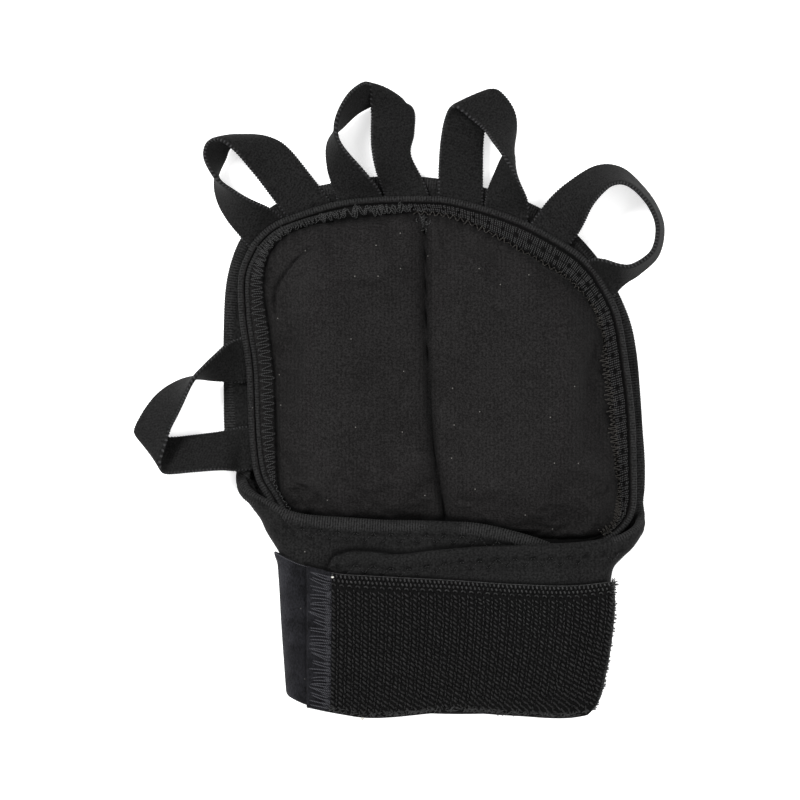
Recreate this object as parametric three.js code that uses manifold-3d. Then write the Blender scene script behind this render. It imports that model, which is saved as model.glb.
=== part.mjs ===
// Weighted training glove for the left hand, lying flat with its weight pad up.
// Millimetres, +Z up. X runs across the hand, Y from the wrist to the fingers,
// and the glove rests on Z = 0.
import * as THREE from "three";
import { mergeVertices } from "three/addons/utils/BufferGeometryUtils.js";
import Module from "manifold-3d";

const wasm = await Module();
wasm.setup();

// Cloth thicknesses, and the clearance kept between two pieces that touch.
const NEOPRENE = 2.5;
const ELASTIC = 1.1;
const PLUSH_TAPE = 1.2;
const HOOK_TAPE = 1.6;
const CLEARANCE = 0.3;

// Heights of the stacked layers. The strap runs under the wrist, so the shell lies higher there,
// and the strap turns round the left fold with a little more room than the clearance.
const STRAP_LIFT = PLUSH_TAPE + CLEARANCE;
const STRAP_WRAP_ROOM = 0.4;
const CUFF_GAP = 5.5;
const INNER_FLAP_Z = STRAP_LIFT + NEOPRENE + CUFF_GAP + NEOPRENE / 2;
const OUTER_FLAP_Z = INNER_FLAP_Z + NEOPRENE + CLEARANCE;
const LIFT_ABOVE = -35;
const LIFT_BELOW = -43;

// Elastic loops.
const LOOP_WIDTH = 12.7;
const LOOP_STEPS = 3;
const LOOP_STRIPS = 3;
const POCKET_ROWS = 3;
const POCKET_DROP = 1.4;

// Weight pad: its flat stitched flange, the groove at its inner side and the two filled cells.
// Its underside starts to lift a little before the shell does, so that the two keep clear.
const PAD_BASE = NEOPRENE + CLEARANCE;
const PAD_LEAD = 2.5;
const PAD_FLANGE = 2.8;
const PAD_EDGE_DROP = 0.3;
const PAD_GROOVE = 0.7;
const PAD_GROOVE_WIDTH = 2;
const PAD_RISE = 10.4;
const PAD_SLOPE = 20;
const PAD_ROUNDNESS = 2.4;
const SEAM_HALF_WIDTH = 17;
const SEAM_DEPTH = 0.5;
const SEAM_ROUNDNESS = 2.2;

// Part of a cosine wave that the pad's grid follows, so that it is finer near the edges.
const PAD_GRID_PHASE = 0.12;

// Mesh density.
const FOLD_STEPS = 9;
const INNER_FLAP_STEPS = 11;
const OUTER_FLAP_STEPS = 20;
const BACK_STEPS = 8;
const SETTLE_PASSES = 12;
const SHEET_ROWS = 12;
const PAD_COLUMNS = 24;
const PAD_ROWS = 24;
const PAD_EDGE_STEPS = 24;
const PANEL_POINTS_PER_ROW = 3;
const CELL_POINTS_PER_ROW = 3;
const STRAP_ROWS = 6;
const HOOK_COLUMNS = 26;
const HOOK_ROWS = 7;

// Gives each row of a table its column names.
function named(columns, rows) {
  return rows.map((row) => Object.fromEntries(columns.map((column, i) => [column, row[i]])));
}

// Edge of the hand panel from the wrist's left corner round the fingers to its right corner.
const PANEL_EDGE = named(["x", "y"], [
  [-42.6, -23.6],
  [-46.0, -20.6],
  [-48.3, -16.6],
  [-49.5, -8.0],
  [-49.9, 10.0],
  [-49.6, 25.0],
  [-48.0, 38.0],
  [-43.6, 47.8],
  [-36.0, 54.8],
  [-25.0, 59.8],
  [-12.0, 62.4],
  [0.0, 63.3],
  [12.0, 62.4],
  [24.0, 59.8],
  [36.5, 55.7],
  [47.0, 49.4],
  [56.0, 39.8],
  [62.6, 28.2],
  [66.4, 16.0],
  [68.0, 0.0],
  [69.0, -18.0],
  [69.0, -26.0],
  [68.0, -31.0],
]);

// Left and right folds of the wrist: outer edge, and mid height of the flap that leaves the fold.
const LEFT_FOLD = named(["y", "edge", "flapZ"], [
  [-86, -30.0, INNER_FLAP_Z],
  [-62, -31.7, INNER_FLAP_Z],
  [-50, -32.4, INNER_FLAP_Z],
  [-45, -33.0, INNER_FLAP_Z],
  [-41.5, -34.8, INNER_FLAP_Z],
  [-36.5, -37.9, INNER_FLAP_Z],
  [-33, -39.5, 10.2],
  [-30, -41.7, 8.8],
  [-27, -44.0, 7.2],
  [-24, -46.1, 5.6],
  [-21, -47.6, 4.2],
  [-18, -48.5, 3.1],
]);
const RIGHT_FOLD = named(["y", "edge", "flapZ"], [
  [-86, 55.8, INNER_FLAP_Z],
  [-71, 58.0, INNER_FLAP_Z],
  [-52, 59.4, INNER_FLAP_Z],
  [-46.4, 60.6, INNER_FLAP_Z],
  [-43.7, 63.0, 10.6],
  [-41.1, 65.8, 9.8],
  [-38.3, 67.8, 8.2],
  [-35, 69.2, 5.8],
  [-32, 69.4, 4.3],
  [-29, 69.3, 3.2],
]);

// Upper edges of the two wrist flaps, and where the flaps' tips end.
const INNER_FLAP_TOP = named(["x", "y"], [
  [-44, -23.0],
  [-41.6, -25.6],
  [-38.5, -28.0],
  [-35.5, -30.2],
  [-31, -31.7],
  [-24, -32.6],
  [-9.5, -33.6],
  [12, -34.1],
  [20, -34.6],
  [32.5, -37.2],
  [45, -41.2],
]);
const OUTER_FLAP_TOP = named(["x", "y"], [
  [-20.5, -47.5],
  [-19.4, -44.9],
  [-16, -43.1],
  [-10, -42.5],
  [1.4, -43.6],
  [12, -42.2],
  [32, -40.8],
  [53, -40.0],
  [61, -38.8],
  [66, -36.9],
  [69, -34.4],
]);
const INNER_FLAP_TIP = named(["y", "x"], [
  [-86, 40.0],
  [-54, 40.0],
  [-48, 40.8],
  [-44, 42.0],
  [-40, 42.4],
]);
const OUTER_FLAP_TIP = named(["y", "x"], [
  [-86, -16.0],
  [-60, -16.0],
  [-53, -16.8],
  [-50, -18.8],
  [-47, -20.2],
  [-44, -18.6],
]);
const FLAP_TOP_GUESS = -36;
const WRIST_BOTTOM_GUESS = -84;
const WRIST_BOTTOM = named(["x", "y"], [
  [-34, -81.0],
  [-28, -83.5],
  [-18, -86.0],
  [46, -86.5],
  [58, -83.0],
]);

// Upper end of the wrist's back at its two sides, and where the hand panel ends over it.
const BACK_TOP_LEFT = -18.5;
const BACK_TOP_RIGHT = -29.5;
const PANEL_LOWER_LEFT = { x: -40, y: -29 };
const PANEL_LOWER_RIGHT = { x: 64, y: -34.5 };

// Where each flap rises from its fold to its full height: the inner one by its distance from
// the fold, the outer one and the hook tape on it by X.
const INNER_RISE = 12;
const OUTER_RISE_FROM = 55;
const OUTER_RISE_TO = 43.5;
const HOOK_LEAD = 1.4;

// Outer edge of the weight pad, side by side.
const PAD_LEFT = named(["x", "y"], [
  [-29.0, -41.0],
  [-32.6, -36.0],
  [-37.4, -28.2],
  [-41.0, -21.5],
  [-42.6, -10.0],
  [-43.4, 8.8],
  [-45.2, 21.4],
  [-45.8, 32.0],
  [-44.9, 38.0],
  [-42.0, 44.2],
]);
const PAD_TOP = named(["x", "y"], [
  [-42.0, 44.2],
  [-38.0, 48.4],
  [-31.9, 51.7],
  [-15.0, 56.6],
  [5.0, 57.6],
  [16.7, 56.5],
  [34.0, 51.1],
  [49.3, 42.6],
  [55.8, 36.4],
]);
const PAD_RIGHT = named(["x", "y"], [
  [54.0, -42.2],
  [60.0, -39.4],
  [64.4, -35.4],
  [66.6, -30.0],
  [66.8, -20.0],
  [66.2, -4.0],
  [64.6, 10.0],
  [61.8, 25.0],
  [55.8, 36.4],
]);
const PAD_BOTTOM = named(["x", "y"], [
  [-29.0, -41.0],
  [-10.0, -43.0],
  [14.0, -43.4],
  [36.0, -43.2],
  [54.0, -42.2],
]);
// Edge of the filled cells, once round from the lower left.
const PAD_CELLS = named(["x", "y"], [
  [-29.0, -32.6],
  [-32.6, -28.0],
  [-34.4, -22.7],
  [-35.2, 0.4],
  [-35.6, 8.8],
  [-37.1, 21.4],
  [-38.5, 31.9],
  [-36.9, 41.0],
  [-31.0, 47.2],
  [-19.3, 50.4],
  [-2.5, 52.5],
  [9.0, 52.8],
  [18.9, 50.4],
  [31.9, 43.6],
  [47.8, 34.0],
  [55.9, 23.1],
  [58.2, 9.2],
  [60.0, -3.8],
  [61.6, -26.1],
  [60.4, -33.8],
  [54.9, -37.6],
  [44.0, -38.2],
  [30.0, -37.6],
  [14.0, -37.0],
  [-10.0, -36.4],
  [-22.0, -35.4],
]);
const PAD_SEAM = named(["y", "x"], [
  [-44, 15.0],
  [-16, 10.0],
  [20, 7.6],
  [58, 7.2],
]);

// Strap edges along its run, in four stages: under the wrist, round the left fold in two
// quarter turns, and onto the front. The steps of a stage are the sections made along it.
const STRAP_STAGE_STEPS = [6, 5, 5, 2];
const STRAP_REAR_END = 40;
const STRAP_FRONT_END = -20.8;
const STRAP_RUN = named(["stage", "top", "bottom"], [
  [0, -48.0, -86.0],
  [1, -46.5, -85.0],
  [2, -45.1, -83.2],
  [3, -46.4, -86.3],
  [4, -48.0, -87.8],
]);

// Hook tape: its left end lies on the strap, steps up onto the outer flap, and follows the
// flap down towards the right fold a little behind it.
const HOOK_START = -26.3;
const HOOK_MIDDLE_Y = -70;
const HOOK_STEP_FROM = -25;
const HOOK_STEP_TO = -20;
const HOOK_RUN = named(["x", "top", "bottom"], [
  [-26.3, -46.6, -86.6],
  [-17.6, -48.8, -88.3],
  [-9, -49.4, -89.5],
  [15, -50.7, -87.9],
  [32, -51.8, -88.9],
  [49, -52.2, -89.4],
  [61, -51.0, -86.5],
]);
const HOOK_END = named(["y", "x"], [
  [-89.5, 52.0],
  [-86.5, 55.0],
  [-83, 56.7],
  [-78, 57.9],
  [-71, 59.2],
  [-57, 60.6],
  [-51, 60.2],
]);

// Elastic loops. Each row is a section: where its middle lies, how high its lower edge is,
// which way its width points at no lean, how far the width leans up from there, and how far
// the tape's middle bulges out of the line between its two edges.
const LOOP_COLUMNS = ["x", "y", "foot", "turn", "lean", "bulge"];
const LOOPS = {
  finger_loop_1: named(LOOP_COLUMNS, [
    [-24.0, 51.6, 3.35, 220, 0, 0],
    [-30.0, 59.4, 3.4, 220, 4, 0],
    [-36.5, 67.6, 2.6, 219, 16, 0],
    [-42.1, 72.2, 1.6, 208, 39, 0.4],
    [-47.6, 73.7, 1.0, 188, 56, 0.6],
    [-51.1, 71.8, 0.8, 172, 58, 0.5],
    [-52.3, 68.0, 0.8, 175, 63, 0],
    [-52.0, 62.7, 0.8, 180, 90, -0.4],
    [-49.5, 57.9, 0.9, 215, 114, -0.4],
    [-45.9, 53.9, 2.2, 226, 132, 0],
    [-41.6, 50.5, 3.3, 230, 152, 0],
    [-38.4, 47.8, 3.4, 231, 174, 0],
    [-34.8, 44.9, 3.35, 231, 180, 0],
  ]),
  finger_loop_2: named(LOOP_COLUMNS, [
    [2.6, 52.0, 3.35, 180, 0, 0],
    [1.5, 58.8, 3.4, 180, 0, 0],
    [-2.2, 68.4, 3.3, 184, 31, 0],
    [-2.1, 75.1, 2.6, 181, 14, 0],
    [-2.0, 81.4, 2.8, 177, 10, 0.3],
    [-3.6, 86.2, 2.6, 156, 26, 0.9],
    [-8.0, 86.4, 1.4, 138, 50, 0.8],
    [-13.0, 83.6, 1.0, 129, 63, 0.2],
    [-16.9, 78.5, 0.8, 124, 76, 0],
    [-18.5, 72.8, 0.8, 172, 105, 0.3],
    [-16.9, 67.1, 1.9, 196, 127, 0.4],
    [-14.0, 62.0, 3.4, 190, 150, 0],
    [-11.6, 57.6, 3.4, 187, 175, 0],
    [-10.4, 52.9, 3.35, 187, 180, 0],
  ]),
  finger_loop_3: named(LOOP_COLUMNS, [
    [17.3, 52.0, 3.35, 0, 0, 0],
    [17.1, 59.6, 3.4, 0, -2, 0],
    [17.4, 71.8, 2.8, 1, -14, 0],
    [18.7, 80.2, 2.0, 6, -16, 0],
    [20.4, 85.0, 3.4, 24, -24, 0.3],
    [24.5, 82.9, 3.0, 42, -24, 0.3],
    [28.2, 78.5, 1.4, 34, -36, 0.6],
    [29.3, 73.6, 0.9, 20, -58, 1.6],
    [28.8, 68.8, 0.8, 6, -90, 3.0],
    [29.3, 64.0, 1.4, 2, -116, 2.4],
    [29.6, 60.0, 3.1, 0, -138, 1.2],
    [30.0, 56.6, 3.5, -2, -160, 0.4],
    [30.1, 53.9, 3.4, -9, -177, 0],
    [29.7, 51.5, 3.35, -18, -180, 0],
  ]),
  finger_loop_4: named(LOOP_COLUMNS, [
    [40.8, 44.5, 3.35, -38, 0, 0],
    [45.0, 50.3, 3.4, -38, 4, 0],
    [50.6, 57.7, 1.8, -49, 38, 0],
    [56.6, 62.6, 1.2, -68, 54, 0],
    [61.8, 63.3, 0.9, -98, 68, 0],
    [66.3, 60.7, 0.8, -122, 79, 0],
    [71.0, 55.1, 0.8, -146, 82, 0],
    [73.3, 48.7, 0.8, -176, 82, 0],
    [71.9, 41.5, 0.8, -212, 81, 0],
    [66.6, 36.9, 1.2, -236, 76, 0],
    [62.9, 35.8, 2.8, -240, 64, 0],
    [59.4, 35.4, 3.4, -240, 38, 0],
    [56.2, 34.0, 3.4, -239, 6, 0],
    [52.6, 32.0, 3.35, -239, 0, 0],
  ]),
  thumb_loop: named(LOOP_COLUMNS, [
    [-38.6, 13.4, 3.35, 112, 0, 0],
    [-44.2, 11.2, 3.4, 112, 3, 0],
    [-49.5, 9.5, 3.7, 110, 42, 0],
    [-54.1, 7.9, 2.2, 106, 68, 0],
    [-57.9, 6.3, 0.8, 110, 90, 0],
    [-61.6, 3.3, 0.8, 125, 112, 0],
    [-66.0, -1.5, 0.8, 150, 132, 0],
    [-69.9, -8.4, 1.0, 168, 142, 0],
    [-70.5, -14.3, 1.6, 130, 138, 0],
    [-65.9, -15.7, 1.0, 90, 146, 0],
    [-58.3, -15.1, 2.0, 84, 148, 0],
    [-49.6, -14.2, 3.6, 84, 154, 0],
    [-44.6, -13.7, 3.4, 85, 177, 0],
    [-37.7, -13.1, 3.35, 85, 180, 0],
  ]),
};

// Finishes.
const FINISHES = {
  neoprene: { color: 0x242425, roughness: 0.85, metalness: 0 },
  pad_cover: { color: 0x282727, roughness: 0.8, metalness: 0 },
  elastic: { color: 0x262626, roughness: 0.75, metalness: 0 },
  plush: { color: 0x29292d, roughness: 0.95, metalness: 0 },
  hook_tape: { color: 0x1c1c1c, roughness: 0.6, metalness: 0 },
};

// Zero before one edge, one after the other and a smooth rise between them.
function rise(from, to, value) {
  return THREE.MathUtils.smoothstep((value - from) / (to - from), 0, 1);
}

// Smooth reading of one column of a table, by another column that grows from row to row.
function read(rows, by, column, value) {
  const last = rows.length - 1;
  const at = THREE.MathUtils.clamp(value, rows[0][by], rows[last][by]);
  let i = 0;
  while (i < last - 1 && rows[i + 1][by] < at) {
    i += 1;
  }
  const slope = (a, b) => (rows[b][column] - rows[a][column]) / (rows[b][by] - rows[a][by]);
  const width = rows[i + 1][by] - rows[i][by];
  const t = (at - rows[i][by]) / width;
  const here = slope(i, i + 1);
  const before = i > 0 ? (slope(i - 1, i) + here) / 2 : here;
  const after = i + 2 <= last ? (here + slope(i + 1, i + 2)) / 2 : here;
  const bow = t * (1 - t) * ((1 - t) * (before - here) - t * (after - here)) * width;
  return rows[i][column] + here * width * t + bow;
}

// Smooth plane curve through the rows of an outline.
function outline(rows) {
  return new THREE.SplineCurve(rows.map((row) => new THREE.Vector2(row.x, row.y)));
}

// Height of the shell's underside over the floor.
function lift(y) {
  return STRAP_LIFT * rise(LIFT_ABOVE, LIFT_BELOW, y);
}

function backMid(y) {
  return lift(y) + NEOPRENE / 2;
}

// Round fold of the wrist at a height y: its middle and the radius of the sheet's mid surface.
function fold(rows, side, y) {
  const flapZ = read(rows, "y", "flapZ", y);
  const radius = (flapZ - backMid(y)) / 2;
  const x = read(rows, "y", "edge", y) - side * (radius + NEOPRENE / 2);
  return { x, z: backMid(y) + radius, radius, flapZ };
}

// Mid height of the outer flap and of what lies on it, on its way down to the right fold.
function outerLayer(x, low) {
  return low + (OUTER_FLAP_Z - low) * rise(OUTER_RISE_FROM, OUTER_RISE_TO, x);
}

// Closed geometry of a sheet of one thickness around a mid surface, point(i, j) on a grid.
function sheet(columns, rows, thickness, point) {
  const mid = [];
  for (let i = 0; i <= columns; i++) {
    mid.push([]);
    for (let j = 0; j <= rows; j++) {
      mid[i].push(point(i, j));
    }
  }
  const clamp = (value, high) => Math.min(Math.max(value, 0), high);
  const faces = [[], []];
  for (let i = 0; i <= columns; i++) {
    for (let j = 0; j <= rows; j++) {
      const across = mid[clamp(i + 1, columns)][j].clone().sub(mid[clamp(i - 1, columns)][j]);
      const along = mid[i][clamp(j + 1, rows)].clone().sub(mid[i][clamp(j - 1, rows)]);
      const normal = across.cross(along).normalize().multiplyScalar(thickness / 2);
      faces[0].push(mid[i][j].clone().add(normal));
      faces[1].push(mid[i][j].clone().sub(normal));
    }
  }
  return shellOf(columns, rows, faces[0], faces[1]);
}

// Closed geometry between an upper and a lower grid of points.
function shellOf(columns, rows, upper, lower) {
  const positions = [...upper, ...lower].flatMap((p) => [p.x, p.y, p.z]);
  const up = (i, j) => i * (rows + 1) + j;
  const down = (i, j) => upper.length + up(i, j);
  const indices = [];
  const quad = (a, b, c, d) => indices.push(a, b, c, a, c, d);
  for (let i = 0; i < columns; i++) {
    for (let j = 0; j < rows; j++) {
      quad(up(i, j), up(i + 1, j), up(i + 1, j + 1), up(i, j + 1));
      quad(down(i, j), down(i, j + 1), down(i + 1, j + 1), down(i + 1, j));
    }
  }
  for (let i = 0; i < columns; i++) {
    quad(down(i, 0), down(i + 1, 0), up(i + 1, 0), up(i, 0));
    quad(up(i, rows), up(i + 1, rows), down(i + 1, rows), down(i, rows));
  }
  for (let j = 0; j < rows; j++) {
    quad(up(0, j), up(0, j + 1), down(0, j + 1), down(0, j));
    quad(down(columns, j), down(columns, j + 1), up(columns, j + 1), up(columns, j));
  }
  const geometry = new THREE.BufferGeometry();
  geometry.setAttribute("position", new THREE.Float32BufferAttribute(positions, 3));
  geometry.setIndex(indices);
  return geometry;
}

// Solid of a closed geometry, for joining and cutting, and the way back.
function toSolid(geometry) {
  geometry.deleteAttribute("normal");
  geometry.deleteAttribute("uv");
  const merged = mergeVertices(geometry, 1e-5);
  return new wasm.Manifold(new wasm.Mesh({
    numProp: 3,
    vertProperties: Float32Array.from(merged.attributes.position.array),
    triVerts: Uint32Array.from(merged.index.array),
  }));
}

function toGeometry(solid) {
  const { vertProperties, triVerts, numProp } = solid.getMesh();
  const positions = [];
  for (let i = 0; i < vertProperties.length; i += numProp) {
    positions.push(vertProperties[i], vertProperties[i + 1], vertProperties[i + 2]);
  }
  const geometry = new THREE.BufferGeometry();
  geometry.setAttribute("position", new THREE.Float32BufferAttribute(positions, 3));
  geometry.setIndex(Array.from(triVerts));
  return geometry;
}

// Flat upper part of the shell, from the finger edge down into the wrist sheet.
function handPanel() {
  const edge = outline(PANEL_EDGE).getPoints(PANEL_POINTS_PER_ROW * PANEL_EDGE.length);
  const shape = new THREE.Shape(edge);
  shape.lineTo(PANEL_LOWER_RIGHT.x, PANEL_LOWER_RIGHT.y);
  shape.lineTo(PANEL_LOWER_LEFT.x, PANEL_LOWER_LEFT.y);
  return new THREE.ExtrudeGeometry(shape, { depth: NEOPRENE, bevelEnabled: false });
}

// Stations across the wrist, from the inner flap's tip round the back to the outer flap's tip.
// Each gives the sheet's mid point at a height y, and the station's upper end.
function wristStations() {
  const stations = [];
  const leftFlap = (p) => (y) => {
    const { x, flapZ } = fold(LEFT_FOLD, -1, y);
    const tip = read(INNER_FLAP_TIP, "y", "x", y);
    const at = x + (tip - x) * p;
    return [at, flapZ + (INNER_FLAP_Z - flapZ) * rise(0, INNER_RISE, at - x)];
  };
  const rightFlap = (p) => (y) => {
    const { x, flapZ } = fold(RIGHT_FOLD, 1, y);
    const tip = read(OUTER_FLAP_TIP, "y", "x", y);
    const at = x + (tip - x) * p;
    return [at, outerLayer(at, flapZ)];
  };
  const bend = (rows, side, angle) => (y) => {
    const { x, z, radius } = fold(rows, side, y);
    return [x + side * radius * Math.sin(angle), z - radius * Math.cos(angle)];
  };
  const back = (p) => (y) => {
    const left = fold(LEFT_FOLD, -1, y).x;
    const right = fold(RIGHT_FOLD, 1, y).x;
    return [left + (right - left) * p, backMid(y)];
  };
  const settle = (section, table) => {
    let y = FLAP_TOP_GUESS;
    for (let i = 0; i < SETTLE_PASSES; i++) {
      y = (y + read(table, "x", "y", section(y)[0])) / 2;
    }
    return y;
  };
  const leftTop = settle(leftFlap(0), INNER_FLAP_TOP);
  const rightTop = settle(rightFlap(0), OUTER_FLAP_TOP);
  for (let i = INNER_FLAP_STEPS; i > 0; i--) {
    const section = leftFlap(i / INNER_FLAP_STEPS);
    stations.push({ section, top: settle(section, INNER_FLAP_TOP) });
  }
  for (let i = 0; i < FOLD_STEPS; i++) {
    const share = i / FOLD_STEPS;
    const section = bend(LEFT_FOLD, -1, Math.PI * (1 - share));
    stations.push({ section, top: leftTop + (BACK_TOP_LEFT - leftTop) * share });
  }
  for (let i = 0; i < BACK_STEPS; i++) {
    const share = i / BACK_STEPS;
    stations.push({ section: back(share), top: BACK_TOP_LEFT + (BACK_TOP_RIGHT - BACK_TOP_LEFT) * share });
  }
  for (let i = 0; i < FOLD_STEPS; i++) {
    const share = i / FOLD_STEPS;
    const section = bend(RIGHT_FOLD, 1, Math.PI * share);
    stations.push({ section, top: BACK_TOP_RIGHT + (rightTop - BACK_TOP_RIGHT) * share });
  }
  for (let i = 0; i <= OUTER_FLAP_STEPS; i++) {
    const section = rightFlap(i / OUTER_FLAP_STEPS);
    stations.push({ section, top: settle(section, OUTER_FLAP_TOP) });
  }
  return stations;
}

// Wrist of the shell: back, two folds and two overlapping flaps as one sheet.
function wristSheet() {
  const stations = wristStations();
  const point = (i, j) => {
    const { section, top } = stations[i];
    const bottom = read(WRIST_BOTTOM, "x", "y", section(WRIST_BOTTOM_GUESS)[0]);
    const y = bottom + (top - bottom) * (j / SHEET_ROWS);
    const [x, z] = section(y);
    return new THREE.Vector3(x, y, z);
  };
  return sheet(stations.length - 1, SHEET_ROWS, NEOPRENE, point);
}

function neopreneShell() {
  return toGeometry(toSolid(handPanel()).add(toSolid(wristSheet())));
}

// Sections of an elastic loop, with an allowance all round for the pocket that takes its end.
function ribbon(rows, allowance) {
  const places = new THREE.CatmullRomCurve3(
    rows.map((row) => new THREE.Vector3(row.x, row.y, row.foot)), false, "catmullrom");
  const angles = new THREE.CatmullRomCurve3(
    rows.map((row) => new THREE.Vector3(row.turn, row.lean, row.bulge)), false, "catmullrom");
  const half = LOOP_WIDTH / 2;
  const centre = (t) => {
    const p = places.getPoint(t);
    const lean = THREE.MathUtils.degToRad(angles.getPoint(t).y);
    return p.setZ(p.z + half * Math.abs(Math.sin(lean)));
  };
  const steps = LOOP_STEPS * (rows.length - 1);
  const halfStep = 1 / (2 * steps);
  const sections = [];
  for (let i = 0; i <= steps; i++) {
    const t = i / steps;
    const { x, y, z: bulge } = angles.getPoint(t);
    const turn = THREE.MathUtils.degToRad(x);
    const lean = THREE.MathUtils.degToRad(y);
    const width = new THREE.Vector3(
      Math.cos(lean) * Math.cos(turn), Math.cos(lean) * Math.sin(turn), Math.sin(lean));
    const ahead = centre(Math.min(t + halfStep, 1));
    const heading = ahead.sub(centre(Math.max(t - halfStep, 0))).normalize();
    const normal = heading.clone().cross(width).normalize();
    const end = i === 0 ? -allowance : i === steps ? allowance : 0;
    sections.push({ middle: centre(t).addScaledVector(heading, end), width, normal, bulge });
  }
  const wide = half + allowance;
  const thick = ELASTIC / 2 + allowance;
  return (from, to) => {
    const corner = (i, a, b) => {
      const { middle, width, normal, bulge } = sections[from + i];
      const out = b * thick + bulge * (1 - a * a);
      return middle.clone().addScaledVector(width, a * wide).addScaledVector(normal, out);
    };
    const upper = [];
    const lower = [];
    for (let i = 0; i <= to - from; i++) {
      for (let j = 0; j <= LOOP_STRIPS; j++) {
        const across = 2 * j / LOOP_STRIPS - 1;
        upper.push(corner(i, across, 1));
        lower.push(corner(i, across, -1));
      }
    }
    return shellOf(to - from, LOOP_STRIPS, upper, lower);
  };
}

function loop(rows) {
  return ribbon(rows, 0)(0, LOOP_STEPS * (rows.length - 1));
}

// Room that a loop's two sewn ends take under the pad, open down to the shell.
function loopEnds(rows) {
  const steps = LOOP_STEPS * (rows.length - 1);
  const cut = LOOP_STEPS * POCKET_ROWS;
  const part = ribbon(rows, CLEARANCE);
  const ends = [part(0, cut), part(steps - cut, steps)];
  return ends.flatMap((end) => [end, end.clone().translate(0, 0, -POCKET_DROP)]);
}

// Plane patch between four edges, by column share a and row share b.
function patch(left, right, bottom, top) {
  const [l, r, d, u] = [left, right, bottom, top].map(outline);
  return (a, b) => {
    const sides = l.getPoint(b).multiplyScalar(1 - a).add(r.getPoint(b).multiplyScalar(a));
    const ends = d.getPoint(a).multiplyScalar(1 - b).add(u.getPoint(a).multiplyScalar(b));
    const corners = d.getPoint(0).multiplyScalar((1 - a) * (1 - b))
      .add(d.getPoint(1).multiplyScalar(a * (1 - b)))
      .add(u.getPoint(0).multiplyScalar((1 - a) * b))
      .add(u.getPoint(1).multiplyScalar(a * b));
    return sides.add(ends).sub(corners);
  };
}

// Distance from a plane point to the nearest piece of a closed line.
function distanceTo(edge, p) {
  let best = Infinity;
  for (let i = 0; i < edge.length; i++) {
    const a = edge[i];
    const b = edge[(i + 1) % edge.length];
    const run = b.clone().sub(a);
    const t = THREE.MathUtils.clamp(p.clone().sub(a).dot(run) / run.lengthSq(), 0, 1);
    best = Math.min(best, p.distanceTo(a.clone().addScaledVector(run, t)));
  }
  return best;
}

// Whether a plane point lies within a closed line: a line from it to the right crosses it
// an odd number of times.
function within(edge, p) {
  let odd = false;
  for (let i = 0; i < edge.length; i++) {
    const a = edge[i];
    const b = edge[(i + 1) % edge.length];
    if (a.y > p.y !== b.y > p.y && p.x < a.x + (b.x - a.x) * (p.y - a.y) / (b.y - a.y)) {
      odd = !odd;
    }
  }
  return odd;
}

// Height of the pad's top over its base: round edge, stitched band, groove and two filled cells.
function padHeight(inside, intoCells, fromSeam) {
  const roll = 1 - PAD_EDGE_DROP * (1 - Math.sqrt(1 - (1 - Math.min(inside, 1)) ** 2));
  if (intoCells <= 0) {
    return PAD_FLANGE * roll;
  }
  const groove = PAD_FLANGE - PAD_GROOVE * (1 - rise(0, PAD_GROOVE_WIDTH, intoCells));
  const dome = 1 - (1 - Math.min(intoCells / PAD_SLOPE, 1)) ** PAD_ROUNDNESS;
  const cell = 1 - SEAM_DEPTH * (1 - Math.min(fromSeam / SEAM_HALF_WIDTH, 1)) ** SEAM_ROUNDNESS;
  return groove + PAD_RISE * dome * cell;
}

function weightPad() {
  const plan = patch(PAD_LEFT, PAD_RIGHT, PAD_BOTTOM, PAD_TOP);
  const wave = (p) => Math.cos(Math.PI * (PAD_GRID_PHASE + (1 - 2 * PAD_GRID_PHASE) * p));
  const spread = (i, steps) => (wave(0) - wave(i / steps)) / (2 * wave(0));
  const sides = [(p) => plan(p, 0), (p) => plan(1, p), (p) => plan(1 - p, 1), (p) => plan(0, 1 - p)];
  const edge = [];
  for (const side of sides) {
    for (let i = 0; i < PAD_EDGE_STEPS; i++) {
      edge.push(side(i / PAD_EDGE_STEPS));
    }
  }
  const ring = outline([...PAD_CELLS, PAD_CELLS[0]]);
  const cells = ring.getPoints(CELL_POINTS_PER_ROW * PAD_CELLS.length).slice(1);
  const upper = [];
  const lower = [];
  for (let i = 0; i <= PAD_COLUMNS; i++) {
    for (let j = 0; j <= PAD_ROWS; j++) {
      const p = plan(spread(i, PAD_COLUMNS), spread(j, PAD_ROWS));
      const base = PAD_BASE + lift(p.y - PAD_LEAD);
      const fromSeam = Math.abs(p.x - read(PAD_SEAM, "y", "x", p.y));
      const intoCells = within(cells, p) ? distanceTo(cells, p) : 0;
      const height = padHeight(distanceTo(edge, p), intoCells, fromSeam);
      upper.push(new THREE.Vector3(p.x, p.y, base + height));
      lower.push(new THREE.Vector3(p.x, p.y, base));
    }
  }
  let solid = toSolid(shellOf(PAD_COLUMNS, PAD_ROWS, upper, lower));
  for (const rows of Object.values(LOOPS)) {
    for (const end of loopEnds(rows)) {
      solid = solid.subtract(toSolid(end));
    }
  }
  return toGeometry(solid);
}

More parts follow.
